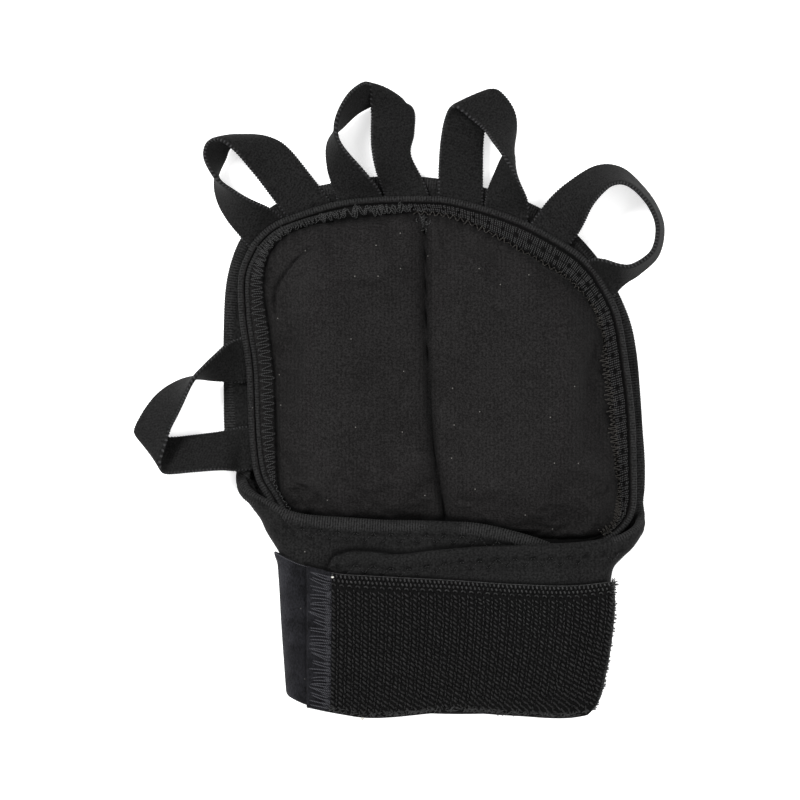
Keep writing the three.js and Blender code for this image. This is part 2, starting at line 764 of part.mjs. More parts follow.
// Plush strap: under the wrist, round the left fold and a short way onto the front.
function wristStrap() {
  const columns = STRAP_STAGE_STEPS.reduce((sum, steps) => sum + steps, 0);
  const backLow = STRAP_LIFT + NEOPRENE / 2;
  const middle = (backLow + INNER_FLAP_Z) / 2;
  const wrap = STRAP_LIFT - PLUSH_TAPE / 2 + NEOPRENE / 2;
  const radius = (INNER_FLAP_Z - backLow) / 2 + wrap;
  const point = (i, j) => {
    let stage = 0;
    let step = i;
    while (stage < STRAP_STAGE_STEPS.length - 1 && step > STRAP_STAGE_STEPS[stage]) {
      step -= STRAP_STAGE_STEPS[stage];
      stage += 1;
    }
    const share = step / STRAP_STAGE_STEPS[stage];
    const top = read(STRAP_RUN, "stage", "top", stage + share);
    const bottom = read(STRAP_RUN, "stage", "bottom", stage + share);
    const y = bottom + (top - bottom) * (j / STRAP_ROWS);
    const { x } = fold(LEFT_FOLD, -1, y);
    if (stage === 0) {
      return new THREE.Vector3(STRAP_REAR_END + (x - STRAP_REAR_END) * share, y, middle - radius);
    }
    if (stage === 3) {
      return new THREE.Vector3(x + (STRAP_FRONT_END - x) * share, y, middle + radius);
    }
    const angle = (Math.PI / 2) * (stage - 1 + share);
    const reach = radius + STRAP_WRAP_ROOM * Math.sin(angle);
    return new THREE.Vector3(x - reach * Math.sin(angle), y, middle - radius * Math.cos(angle));
  };
  return sheet(columns, STRAP_ROWS, PLUSH_TAPE, point);
}

// Hook tape across the front, sewn to the strap's end and lying on the outer flap.
function hookPanel() {
  const onFlap = OUTER_FLAP_Z + (NEOPRENE + HOOK_TAPE) / 2 + CLEARANCE;
  const onStrap = INNER_FLAP_Z + NEOPRENE / 2 + PLUSH_TAPE + 2 * CLEARANCE + HOOK_TAPE / 2;
  const atFold = onFlap - (OUTER_FLAP_Z - INNER_FLAP_Z);
  const point = (i, j) => {
    const p = i / HOOK_COLUMNS;
    const v = j / HOOK_ROWS;
    let x = HOOK_START;
    let y = HOOK_MIDDLE_Y;
    for (let pass = 0; pass < SETTLE_PASSES; pass++) {
      x = HOOK_START + (read(HOOK_END, "y", "x", y) - HOOK_START) * p;
      const bottom = read(HOOK_RUN, "x", "bottom", x);
      y = bottom + (read(HOOK_RUN, "x", "top", x) - bottom) * v;
    }
    const left = onStrap + (onFlap - onStrap) * rise(HOOK_STEP_FROM, HOOK_STEP_TO, x);
    const right = atFold + (onFlap - atFold) * rise(OUTER_RISE_FROM, OUTER_RISE_TO, x - HOOK_LEAD);
    return new THREE.Vector3(x, y, Math.min(left, right));
  };
  return sheet(HOOK_COLUMNS, HOOK_ROWS, HOOK_TAPE, point);
}

// Named mesh of one piece, with its finish.
function piece(name, geometry, finish) {
  const flat = geometry.toNonIndexed();
  flat.computeVertexNormals();
  const mesh = new THREE.Mesh(flat, new THREE.MeshStandardMaterial({ ...FINISHES[finish] }));
  mesh.name = name;
  return mesh;
}

const glove = new THREE.Group();
glove.add(piece("neoprene_shell", neopreneShell(), "neoprene"));
glove.add(piece("weight_pad", weightPad(), "pad_cover"));
for (const [name, rows] of Object.entries(LOOPS)) {
  glove.add(piece(name, loop(rows), "elastic"));
}
glove.add(piece("wrist_strap", wristStrap(), "plush"));
glove.add(piece("hook_panel", hookPanel(), "hook_tape"));

export default glove;
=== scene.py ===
"""Weighted training glove: the looks of a left glove that lies flat with its weight pad up.

Lengths in the tables and dataclasses are millimetres in the part's own frame, X across the
hand, Y from the wrist to the fingers and Z up. They turn into metres when a mesh is made.
"""
import logging
import math
from dataclasses import dataclass, field, replace
from enum import Enum
from typing import Any, Callable, ClassVar, Sequence

import bpy
import numpy as np
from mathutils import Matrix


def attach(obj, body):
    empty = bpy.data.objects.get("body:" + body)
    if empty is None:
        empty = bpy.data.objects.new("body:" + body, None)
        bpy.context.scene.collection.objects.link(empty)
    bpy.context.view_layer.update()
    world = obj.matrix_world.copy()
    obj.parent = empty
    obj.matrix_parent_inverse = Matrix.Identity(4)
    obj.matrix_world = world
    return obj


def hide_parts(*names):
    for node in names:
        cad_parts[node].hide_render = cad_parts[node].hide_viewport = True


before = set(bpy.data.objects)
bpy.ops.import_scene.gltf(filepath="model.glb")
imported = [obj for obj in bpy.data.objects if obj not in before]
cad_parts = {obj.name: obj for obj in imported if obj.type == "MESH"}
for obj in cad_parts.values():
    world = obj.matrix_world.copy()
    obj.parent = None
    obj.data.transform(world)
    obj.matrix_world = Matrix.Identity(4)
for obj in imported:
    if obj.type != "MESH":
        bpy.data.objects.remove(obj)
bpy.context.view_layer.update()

log = logging.getLogger("glove")

MM = 0.001
TAU = 2 * math.pi
SEED = 20

Array = np.ndarray
Columns = dict[str, Array]
Materials = dict[str, bpy.types.Material]
Node = bpy.types.Node
Piece = bpy.types.Object
Socket = bpy.types.NodeSocket
Tree = bpy.types.NodeTree
Wire = Node | Socket

# The UV map of every piece that has one.
RUN = "run"
# A colour Mix node's inputs, which are its share and its two colours, and its output.
SHARE, UNDER, OVER, MIXED = 0, 6, 7, 2
# Radians that the wave texture turns over a metre at scale one.
WAVE_TURN = 20


class Slot(Enum):
    """Material slots of the part's record."""

    NEOPRENE = "neoprene"
    PAD_COVER = "pad_cover"
    ELASTIC = "elastic"
    PLUSH = "plush"
    HOOK_TAPE = "hook_tape"


def named(columns: Sequence[str], rows: Sequence[Sequence[float]]) -> Columns:
    """One array for each column of a table, by the column's name."""
    table = np.array(rows, float)
    return {name: table[:, i] for i, name in enumerate(columns)}


# Cloth thicknesses and the clearance between two layers.
NEOPRENE = 2.5
PLUSH_TAPE = 1.2
HOOK_TAPE = 1.6
CLEARANCE = 0.3

# Heights of the stacked layers of the wrist, at the middle of each sheet.
STRAP_LIFT = PLUSH_TAPE + CLEARANCE
INNER_FLAP_Z = STRAP_LIFT + NEOPRENE + 5.5 + NEOPRENE / 2
OUTER_FLAP_Z = INNER_FLAP_Z + NEOPRENE + CLEARANCE
# Y between which the shell's underside rises onto the strap.
LIFT_ABOVE = -35.0
LIFT_BELOW = -43.0

# Edge of the hand panel, from the wrist's left corner round the fingers to the right corner.
PANEL_EDGE = named(["x", "y"], [
    [-42.6, -23.6], [-46.0, -20.6], [-48.3, -16.6], [-49.5, -8.0], [-49.9, 10.0], [-49.6, 25.0],
    [-48.0, 38.0], [-43.6, 47.8], [-36.0, 54.8], [-25.0, 59.8], [-12.0, 62.4], [0.0, 63.3],
    [12.0, 62.4], [24.0, 59.8], [36.5, 55.7], [47.0, 49.4], [56.0, 39.8], [62.6, 28.2],
    [66.4, 16.0], [68.0, 0.0], [69.0, -18.0], [69.0, -26.0], [68.0, -31.0],
])
PANEL_LOWER = named(["x", "y"], [[64.0, -34.5], [-40.0, -29.0]])

# Left and right folds of the wrist: outer edge and mid height of the flap that leaves the fold.
LEFT_FOLD = named(["y", "edge", "flap"], [
    [-86, -30.0, INNER_FLAP_Z], [-62, -31.7, INNER_FLAP_Z], [-50, -32.4, INNER_FLAP_Z],
    [-45, -33.0, INNER_FLAP_Z], [-41.5, -34.8, INNER_FLAP_Z], [-36.5, -37.9, INNER_FLAP_Z],
    [-33, -39.5, 10.2], [-30, -41.7, 8.8], [-27, -44.0, 7.2], [-24, -46.1, 5.6], [-21, -47.6, 4.2],
    [-18, -48.5, 3.1],
])
RIGHT_FOLD = named(["y", "edge", "flap"], [
    [-86, 55.8, INNER_FLAP_Z], [-71, 58.0, INNER_FLAP_Z], [-52, 59.4, INNER_FLAP_Z],
    [-46.4, 60.6, INNER_FLAP_Z], [-43.7, 63.0, 10.6], [-41.1, 65.8, 9.8], [-38.3, 67.8, 8.2],
    [-35, 69.2, 5.8], [-32, 69.4, 4.3], [-29, 69.3, 3.2],
])

# Upper edges of the two wrist flaps, where the flaps' tips end, and the wrist's lower edge.
INNER_FLAP_TOP = named(["x", "y"], [
    [-44, -23.0], [-41.6, -25.6], [-38.5, -28.0], [-35.5, -30.2], [-31, -31.7],
    [-24, -32.6], [-9.5, -33.6], [12, -34.1], [20, -34.6], [32.5, -37.2], [45, -41.2],
])
OUTER_FLAP_TOP = named(["x", "y"], [
    [-20.5, -47.5], [-19.4, -44.9], [-16, -43.1], [-10, -42.5], [1.4, -43.6], [12, -42.2],
    [32, -40.8], [53, -40.0], [61, -38.8], [66, -36.9], [69, -34.4],
])
INNER_FLAP_TIP = named(["y", "x"], [[-86, 40.0], [-54, 40.0], [-48, 40.8], [-44, 42.0], [-40, 42.4]])
OUTER_FLAP_TIP = named(["y", "x"], [
    [-86, -16.0], [-60, -16.0], [-53, -16.8], [-50, -18.8], [-47, -20.2], [-44, -18.6],
])
WRIST_BOTTOM = named(["x", "y"], [[-34, -81.0], [-28, -83.5], [-18, -86.0], [46, -86.5], [58, -83.0]])
BACK_TOP_LEFT = -18.5
BACK_TOP_RIGHT = -29.5
# Y from which a place whose X and Y depend on each other is worked out.
FLAP_TOP_GUESS = -36.0
WRIST_BOTTOM_GUESS = -84.0
TAPE_MIDDLE_GUESS = -70.0
# Stretches of X over which the flaps rise from their folds to their full height.
INNER_RISE = 12.0
OUTER_RISE_FROM = 55.0
OUTER_RISE_TO = 43.5

# Outer edge of the weight pad, side by side.
PAD_LEFT = named(["x", "y"], [
    [-29.0, -41.0], [-32.6, -36.0], [-37.4, -28.2], [-41.0, -21.5], [-42.6, -10.0],
    [-43.4, 8.8], [-45.2, 21.4], [-45.8, 32.0], [-44.9, 38.0], [-42.0, 44.2],
])
PAD_TOP = named(["x", "y"], [
    [-42.0, 44.2], [-38.0, 48.4], [-31.9, 51.7], [-15.0, 56.6], [5.0, 57.6],
    [16.7, 56.5], [34.0, 51.1], [49.3, 42.6], [55.8, 36.4],
])
PAD_RIGHT = named(["x", "y"], [
    [54.0, -42.2], [60.0, -39.4], [64.4, -35.4], [66.6, -30.0], [66.8, -20.0],
    [66.2, -4.0], [64.6, 10.0], [61.8, 25.0], [55.8, 36.4],
])
PAD_BOTTOM = named(["x", "y"], [
    [-29.0, -41.0], [-10.0, -43.0], [14.0, -43.4], [36.0, -43.2], [54.0, -42.2],
])
# Edge of the filled cells, once round from the lower left, and the seam between them.
PAD_CELLS = named(["x", "y"], [
    [-29.0, -32.6], [-32.6, -28.0], [-34.4, -22.7], [-35.2, 0.4], [-35.6, 8.8], [-37.1, 21.4],
    [-38.5, 31.9], [-36.9, 41.0], [-31.0, 47.2], [-19.3, 50.4], [-2.5, 52.5], [9.0, 52.8],
    [18.9, 50.4], [31.9, 43.6], [47.8, 34.0], [55.9, 23.1], [58.2, 9.2], [60.0, -3.8],
    [61.6, -26.1], [60.6, -34.2], [55.9, -38.3], [44.6, -39.2], [30.6, -38.2], [14.0, -37.1],
    [-10.0, -36.4], [-22.0, -35.4],
])
PAD_SEAM = named(["y", "x"], [[-44, 15.0], [-16, 10.0], [20, 7.6], [58, 7.2]])

# Strap edges along its run: under the wrist, two quarter turns round the left fold, the front.
STRAP_RUN = named(["stage", "top", "bottom"], [
    [0, -48.0, -86.0], [1, -45.4, -85.0], [2, -42.8, -83.2], [3, -46.4, -86.3], [4, -48.0, -87.8],
])
STRAP_REAR_END = 40.0
STRAP_FRONT_END = -20.8
STRAP_WRAP_ROOM = 0.4

# Hook tape across the front.
HOOK_RUN = named(["x", "top", "bottom"], [
    [-26.3, -46.6, -86.6], [-17.6, -48.8, -88.3], [-9, -49.4, -89.5], [15, -50.7, -87.9],
    [32, -51.8, -88.9], [49, -52.2, -89.4], [61, -51.0, -86.5],
])
HOOK_END = named(["y", "x"], [
    [-89.5, 52.0], [-86.5, 55.0], [-83, 56.7], [-78, 57.9], [-71, 59.2], [-57, 60.6], [-51, 60.2],
])
HOOK_START = -26.3
HOOK_LEAD = 1.4
HOOK_STEP = (-25.0, -20.0)

# Elastic loops. Each row is a section: where its middle lies, how high its lower edge is,
# which way its width points at no lean, how far the width leans up from there, and how far
# the tape's middle bulges out of the line between its two edges.
LOOP_COLUMNS = ["x", "y", "foot", "turn", "lean", "bulge"]
LOOPS = {
    "finger_loop_1": named(LOOP_COLUMNS, [
        [-24.0, 51.6, 3.35, 220, 0, 0], [-30.0, 59.4, 3.4, 220, 4, 0],
        [-36.5, 67.6, 2.6, 219, 16, 0], [-42.1, 72.2, 1.6, 208, 39, 0.4],
        [-47.6, 73.7, 1.0, 188, 56, 0.6], [-51.1, 71.8, 0.8, 172, 58, 0.5],
        [-52.3, 68.0, 0.8, 175, 63, 0], [-52.0, 62.7, 0.8, 180, 90, -0.4],
        [-49.5, 57.9, 0.9, 215, 114, -0.4], [-45.9, 53.9, 2.2, 226, 132, 0],
        [-41.6, 50.5, 3.3, 230, 152, 0], [-38.4, 47.8, 3.4, 231, 174, 0],
        [-34.8, 44.9, 3.35, 231, 180, 0],
    ]),
    "finger_loop_2": named(LOOP_COLUMNS, [
        [2.6, 52.0, 3.35, 180, 0, 0], [1.5, 58.8, 3.4, 180, 0, 0], [-2.2, 68.4, 3.3, 184, 31, 0],
        [-2.1, 75.1, 2.6, 181, 14, 0], [-2.0, 81.4, 2.8, 177, 10, 0.3],
        [-3.6, 86.2, 2.6, 156, 26, 0.9], [-8.0, 86.4, 1.4, 138, 50, 0.8],
        [-13.0, 83.6, 1.0, 129, 63, 0.2], [-16.9, 78.5, 0.8, 124, 76, 0],
        [-18.5, 72.8, 0.8, 172, 105, 0.3], [-16.9, 67.1, 1.9, 196, 127, 0.4],
        [-14.0, 62.0, 3.4, 190, 150, 0], [-11.6, 57.6, 3.4, 187, 175, 0],
        [-10.4, 52.9, 3.35, 187, 180, 0],
    ]),
    "finger_loop_3": named(LOOP_COLUMNS, [
        [17.3, 52.0, 3.35, 0, 0, 0], [17.1, 59.6, 3.4, 0, -2, 0], [17.4, 71.8, 2.8, 1, -14, 0],
        [18.7, 80.2, 2.0, 6, -16, 0], [20.4, 85.0, 3.4, 24, -24, 0.3],
        [24.5, 82.9, 3.0, 42, -24, 0.3], [28.2, 78.5, 1.4, 34, -36, 0.6],
        [29.3, 73.6, 0.9, 20, -58, 1.6], [28.8, 68.8, 0.8, 6, -90, 3.0],
        [29.3, 64.0, 1.4, 2, -116, 2.4], [29.6, 60.0, 3.1, 0, -138, 1.2],
        [30.0, 56.6, 3.5, -2, -160, 0.4], [30.1, 53.9, 3.4, -9, -177, 0],
        [29.7, 51.5, 3.35, -18, -180, 0],
    ]),
    "finger_loop_4": named(LOOP_COLUMNS, [
        [40.8, 44.5, 3.35, -38, 0, 0], [45.0, 50.3, 3.4, -38, 4, 0], [50.6, 57.7, 1.8, -49, 38, 0],
        [56.6, 62.6, 1.2, -68, 54, 0], [61.8, 63.3, 0.9, -98, 68, 0],
        [66.3, 60.7, 0.8, -122, 79, 0], [71.0, 55.1, 0.8, -146, 82, 0],
        [73.3, 48.7, 0.8, -176, 82, 0], [71.9, 41.5, 0.8, -212, 81, 0],
        [66.6, 36.9, 1.2, -236, 76, 0], [62.9, 35.8, 2.8, -240, 64, 0],
        [59.4, 35.4, 3.4, -240, 38, 0], [56.2, 34.0, 3.4, -239, 6, 0],
        [52.6, 32.0, 3.35, -239, 0, 0],
    ]),
    "thumb_loop": named(LOOP_COLUMNS, [
        [-38.6, 13.4, 3.35, 112, 0, 0], [-44.2, 11.2, 3.4, 112, 3, 0],
        [-49.5, 9.5, 3.7, 110, 42, 0], [-54.1, 7.9, 2.2, 106, 68, 0],
        [-57.9, 6.3, 0.8, 110, 90, 0], [-61.6, 3.3, 0.8, 125, 112, 0],
        [-66.0, -1.5, 0.8, 150, 132, 0], [-69.9, -8.4, 1.0, 168, 142, 0],
        [-70.5, -14.3, 1.6, 130, 138, 0], [-65.9, -15.7, 1.0, 90, 146, 0],
        [-58.3, -15.1, 2.0, 84, 148, 0], [-49.6, -14.2, 3.6, 84, 154, 0],
        [-44.6, -13.7, 3.4, 85, 177, 0], [-37.7, -13.1, 3.35, 85, 180, 0],
    ]),
}


def rise(start: float, end: float, value: Array) -> Array:
    """Zero up to start, one past end, on whichever side it lies, and 3t^2 - 2t^3 between."""
    t = np.clip((np.asarray(value, float) - start) / (end - start), 0, 1)
    return t * t * (3 - 2 * t)


def read(table: Columns, by: str, column: str, value: Array) -> Array:
    """Read a column smoothly: straight between rows plus a cubic bow that joins their slopes.

    Args:
        table: named columns, growing in the column by.
        by: column that value is in.
        column: column to read.
        value: places to read.

    Returns:
        The column's value at each place.
    """
    xs = table[by]
    ys = table[column]
    at = np.clip(np.asarray(value, float), xs[0], xs[-1])
    i = np.clip(np.searchsorted(xs, at, side="left") - 1, 0, len(xs) - 2)
    slopes = np.diff(ys) / np.diff(xs)
    width = np.diff(xs)[i]
    t = (at - xs[i]) / width
    here = slopes[i]
    before = (slopes[np.maximum(i - 1, 0)] + here) / 2
    after = (slopes[np.minimum(i + 1, len(slopes) - 1)] + here) / 2
    bow = t * (1 - t) * ((1 - t) * (before - here) - t * (after - here)) * width
    return ys[i] + here * width * t + bow


def catmull(points: Array, t: Array, reach: float) -> Array:
    """Uniform Catmull-Rom curve: a cubic from point to point whose slope at a point is half
    the way between its neighbours.

    Args:
        points: rows of coordinates.
        t: places from 0 to 1 along the whole curve.
        reach: 1 extends the ends straight on, 0 repeats the end points.

    Returns:
        The curve's coordinates at each place.
    """
    first = points[0] + reach * (points[0] - points[1])
    last = points[-1] + reach * (points[-1] - points[-2])
    p = np.vstack([first, points, last])
    at = np.clip(np.asarray(t, float), 0, 1) * (len(points) - 1)
    i = np.minimum(at.astype(int), len(points) - 2)
    w = (at - i)[..., None]
    a, b, c, d = p[i], p[i + 1], p[i + 2], p[i + 3]
    u = (c - a) / 2
    v = (d - b) / 2
    return (2 * (b - c) + u + v) * w**3 + (3 * (c - b) - 2 * u - v) * w**2 + u * w + b


def outline(table: Columns, t: Array) -> Array:
    """Smooth plane curve through a table of x and y, read at places from 0 to 1."""
    return catmull(np.stack([table["x"], table["y"]], 1), t, 0)


def even(path: Array, step: float) -> tuple[Array, Array]:
    """Walk a path in even steps: each column is read straight between points at each length.

    Args:
        path: points of the path, two or three columns of place and any others to carry along.
        step: length of a step.

    Returns:
        The rows at the steps and their distance along the path.
    """
    run = lengths(path[:, :3])
    s = np.linspace(0, run[-1], max(int(run[-1] / step), 2) + 1)
    return np.stack([np.interp(s, run, path[:, k]) for k in range(path.shape[1])], 1), s


def smooth(path: Array, passes: int) -> Array:
    """Ease corners: each pass moves every inner point to a quarter, half, quarter mean.

    Args:
        path: points of the path.
        passes: how many times.

    Returns:
        The eased path, with its ends in place.
    """
    out = path.copy()
    for _ in range(passes):
        out[1:-1] = 0.25 * out[:-2] + 0.5 * out[1:-1] + 0.25 * out[2:]
    return out


def unit(v: Array) -> Array:
    """Vectors of length one, the same way as v."""
    return v / np.maximum(np.linalg.norm(v, axis=-1, keepdims=True), 1e-12)


def to_right(ahead: Array) -> Array:
    """Plane directions a quarter turn to the right of the way ahead."""
    return np.stack([ahead[:, 1], -ahead[:, 0]], 1)


def facing(grid: Array) -> Array:
    """Directions square to a grid of points: the cross product of its two slopes."""
    return unit(np.cross(np.gradient(grid, axis=0), np.gradient(grid, axis=1)))


def between(start: Array, end: Array, share: Array) -> Array:
    """Straight from start, at a share of zero, to end, at a share of one."""
    return start * (1 - share) + end * share


def bell(away: Array, width: float) -> Array:
    """One at zero, falling on both sides as exp(-(away / width)^2)."""
    return np.exp(-((away / width) ** 2))


def zigzag(turns: Array) -> Array:
    """Triangle wave: a half at whole turns and minus a half midway between them."""
    return np.abs(2 * (turns % 1) - 1) - 0.5


def lengths(paths: Array) -> Array:
    """Distance along each path at each of its points."""
    steps = np.diff(paths, axis=-2, prepend=paths[..., :1, :])
    return np.cumsum(np.linalg.norm(steps, axis=-1), axis=-1)


def spread(count: int, margin: float) -> Array:
    """Shares from 0 to 1, closer at both ends: a half turn of a cosine less a margin of it."""
    t = np.cos(math.pi * np.linspace(margin, 1 - margin, count))
    return (t[0] - t) / (t[0] - t[-1])


def staged(u: Array, count: int) -> tuple[Array, Array]:
    """Number of the stage that each station lies in, and the share of it behind the station."""
    stage = np.minimum(u.astype(int), count - 1)
    return stage, u - stage


def stations(steps: Sequence[int]) -> Array:
    """Stages from 0 to their number, each cut into its own count of even steps."""
    stages = [k + np.linspace(0, 1, n, endpoint=False) for k, n in enumerate(steps)]
    return np.append(np.concatenate(stages), float(len(steps)))


def ripple(shape: tuple[int, ...], x: Array, y: Array, size: float, seed: int) -> Array:
    """Soft waves: a mean of twelve sines of random direction and phase, from about -1 to 1.

    Args:
        shape: shape of the result.
        x: places across.
        y: places along.
        size: usual distance between two crests.
        seed: number that fixes the waves.

    Returns:
        The height of the waves at each place.
    """
    rng = np.random.default_rng(seed)
    total = np.zeros(shape)
    for _ in range(12):
        angle, phase = rng.uniform(0, TAU, 2)
        k = TAU / (size * rng.uniform(0.6, 1.7))
        total += np.sin(k * (x * math.cos(angle) + y * math.sin(angle)) + phase)
    return total / 5


@dataclass
class MeshData:
    """Points, four-sided faces, other faces and a UV pair for each point, in millimetres."""

    points: Array
    quads: Array
    others: list[list[int]] = field(default_factory=list)
    uv: Array | None = None

    def volume(self) -> float:
        """Enclosed volume, negative if the faces point in."""
        a, b, c, d = (self.points[self.quads[:, k]] for k in range(4))
        total = np.einsum("ij,ij->", a, np.cross(b, c)) + np.einsum("ij,ij->", a, np.cross(c, d))
        for face in self.others:
            p = self.points[face]
            total += np.einsum("j,ij->", p[0], np.cross(p[1:-1], p[2:]))
        return float(total) / 6

    def outward(self) -> "MeshData":
        """Turn the faces round if they point in."""
        if self.volume() < 0:
            self.quads = self.quads[:, ::-1]
            self.others = [face[::-1] for face in self.others]
        return self


def joined(parts: Sequence[MeshData]) -> MeshData:
    """Put several meshes into one.

    Args:
        parts: the meshes.

    Returns:
        One mesh that holds them all, with faces pointing out.
    """
    offset = 0
    quads, others = [], []
    for part in parts:
        part.outward()
        quads.append(part.quads + offset)
        others += [[i + offset for i in face] for face in part.others]
        offset += len(part.points)
    uv = None
    if all(part.uv is not None for part in parts):
        uv = np.concatenate([part.uv for part in parts])
    return MeshData(np.concatenate([part.points for part in parts]), np.concatenate(quads), others, uv)


def grid_quads(rows: int, columns: int, wrap: bool, start: int = 0) -> Array:
    """Faces of a grid whose point (i, j) has the number start + i * columns + j.

    Args:
        rows: points one way.
        columns: points the other way.
        wrap: whether the columns close on themselves.
        start: number of the first point.

    Returns:
        Point numbers, four for each face.
    """
    i, j = np.meshgrid(np.arange(rows - 1), np.arange(columns if wrap else columns - 1), indexing="ij")
    k = (j + 1) % columns
    a = i * columns + j
    b = i * columns + k
    return (np.stack([a, b, b + columns, a + columns], -1).reshape(-1, 4)) + start


def carried(sections: Array, uv: Array | None = None) -> MeshData:
    """Closed mesh of rings of points, one ring for each section, with a flat face at each end.

    Args:
        sections: rings of points, (sections, points in a ring, 3).
        uv: the same with 2 coordinates, if the surface needs them.

    Returns:
        The mesh.
    """
    n, m = sections.shape[:2]
    ends = [list(range(m))[::-1], list(range((n - 1) * m, n * m))]
    flat = None if uv is None else uv.reshape(-1, 2)
    return MeshData(sections.reshape(-1, 3), grid_quads(n, m, True), ends, flat).outward()


def slab(upper: Array, lower: Array) -> MeshData:
    """Closed mesh between an upper and a lower grid of points of the same size.

    Args:
        upper: (rows, columns, 3).
        lower: (rows, columns, 3).

    Returns:
        The mesh.
    """
    n, m = upper.shape[:2]
    number = np.arange(n * m).reshape(n, m)
    rim = np.concatenate([number[0, :-1], number[:-1, -1], number[-1, :0:-1], number[:0:-1, 0]])
    following = np.roll(rim, -1)
    top = grid_quads(n, m, False)
    walls = np.stack([following, rim, rim + n * m, following + n * m], 1)
    quads = np.concatenate([top[:, ::-1], top + n * m, walls[:, ::-1]])
    points = np.concatenate([upper.reshape(-1, 3), lower.reshape(-1, 3)])
    return MeshData(points, quads).outward()


def threads(paths: Array, radius: Array | float, sides: int = 6) -> MeshData:
    """Round threads: a circle of the radius carried square to each path, ends rounded down.
    Its side direction is level and square to the path as seen from above.

    Args:
        paths: (threads, points, 3).
        radius: one for all, or one for each thread.
        sides: points round a thread.

    Returns:
        One mesh of them all, with U along and V round each thread in millimetres.
    """
    count, steps = paths.shape[:2]
    along = unit(np.gradient(paths, axis=1))
    side = unit(np.stack([-along[..., 1], along[..., 0], np.zeros((count, steps))], -1))
    up = np.cross(along, side)
    angle = np.arange(sides) * TAU / sides
    taper = np.ones(steps)
    taper[[0, -1]] = 0.55
    r = np.reshape(radius, (-1, 1)) * taper
    ring = side[:, :, None] * np.cos(angle)[:, None] + up[:, :, None] * np.sin(angle)[:, None]
    points = paths[:, :, None] + ring * r[:, :, None, None]
    u = np.repeat(lengths(paths)[:, :, None], sides, 2)
    v = np.broadcast_to(angle / TAU, u.shape)
    one = grid_quads(steps, sides, True)
    size = steps * sides
    quads = (one[None] + np.arange(count)[:, None, None] * size).reshape(-1, 4)
    ends = []
    for k in range(count):
        ends.append(list(range(k * size + sides - 1, k * size - 1, -1)))
        ends.append(list(range((k + 1) * size - sides, (k + 1) * size)))
    return MeshData(points.reshape(-1, 3), quads, ends, np.stack([u, v], -1).reshape(-1, 2)).outward()


@dataclass(frozen=True)
class Roll:
    """Rolled edge with fine ribs across it: half sizes of its section and of its ribs."""

    half_width: float
    half_height: float
    rib: float
    depth: float
    sides: int = 12
    steps_per_rib: int = 5

    def mesh(self, path: Array, inward: Array, size: Array | float = 1.0) -> MeshData:
        """Oval along a path: width along the inward direction, height square to it and to the
        path, both gaining depth * cos(2 pi s / rib) at a length s.

        Args:
            path: points of the roll's middle.
            inward: directions along the cloth, away from its edge.
            size: share of the full section at each point.

        Returns:
            The mesh, with U along and V round the roll in millimetres.
        """
        share = np.broadcast_to(np.reshape(size, (-1, 1)), (len(path), 1))
        rows, s = even(np.hstack([path, inward, share]), self.rib / self.steps_per_rib)
        along = unit(np.gradient(rows[:, :3], axis=0))
        wide = rows[:, 3:6]
        wide = unit(wide - along * np.sum(along * wide, 1, keepdims=True))
        up = np.cross(along, wide)
        waver = 1 + 0.05 * np.sin(s / 7.3) + 0.03 * np.sin(s / 2.9 + 1)
        rib = self.depth * np.cos(TAU * s / self.rib + 0.9 * np.sin(s / 4.1))
        angle = np.arange(self.sides) * TAU / self.sides
        across = np.sign(np.cos(angle)) * np.abs(np.cos(angle)) ** 0.8
        tall = np.sign(np.sin(angle)) * np.abs(np.sin(angle)) ** 0.8
        share = rows[:, 6]
        width = (self.half_width * waver + rib) * share
        height = (self.half_height * waver + rib) * share
        rings = (rows[:, None, :3] + wide[:, None] * (width[:, None] * across)[..., None]
                 + up[:, None] * (height[:, None] * tall)[..., None])
        turn = np.broadcast_to(angle / TAU * 8, (len(s), self.sides))
        return carried(rings, np.stack([np.repeat(s[:, None], self.sides, 1), turn], -1))


def linear(code: str) -> tuple[float, float, float, float]:
    """Turn an sRGB hex colour to linear.

    Args:
        code: six hex digits after a hash.

    Returns:
        Linear red, green and blue, and an alpha of one.
    """
    parts = [int(code[i:i + 2], 16) / 255 for i in (1, 3, 5)]
    r, g, b = (c / 12.92 if c <= 0.04045 else ((c + 0.055) / 1.055) ** 2.4 for c in parts)
    return r, g, b, 1.0


def add(tree: Tree, kind: str, inputs: dict[str | int, Any] | None = None, **settings: Any) -> Node:
    """Add a node with its settings, values and links.

    Args:
        tree: node tree.
        kind: node type, without the ShaderNode that it starts with.
        inputs: by name or number, a value, a socket to link, or a node whose first output to link.
        settings: attributes of the node.

    Returns:
        The node.
    """
    made = tree.nodes.new("ShaderNode" + kind)
    for key, value in settings.items():
        setattr(made, key, value)
    for key, value in (inputs or {}).items():
        if isinstance(value, Node):
            value = value.outputs[0]
        if isinstance(value, Socket):
            tree.links.new(value, made.inputs[key])
        else:
            made.inputs[key].default_value = value
    return made


def per_mm(size: float) -> float:
    """Texture scale whose features are about this many millimetres."""
    return 1 / (size * MM)


def with_painted_shade(data: MeshData, share: Array) -> MeshData:
    """Give a mesh the UV that its knit reads: U is the share of painted shade at each point, in creases,
    gaps and under other parts.
    """
    data.uv = np.stack([np.clip(share, 0, 0.95), np.zeros(len(share))], 1)
    return data


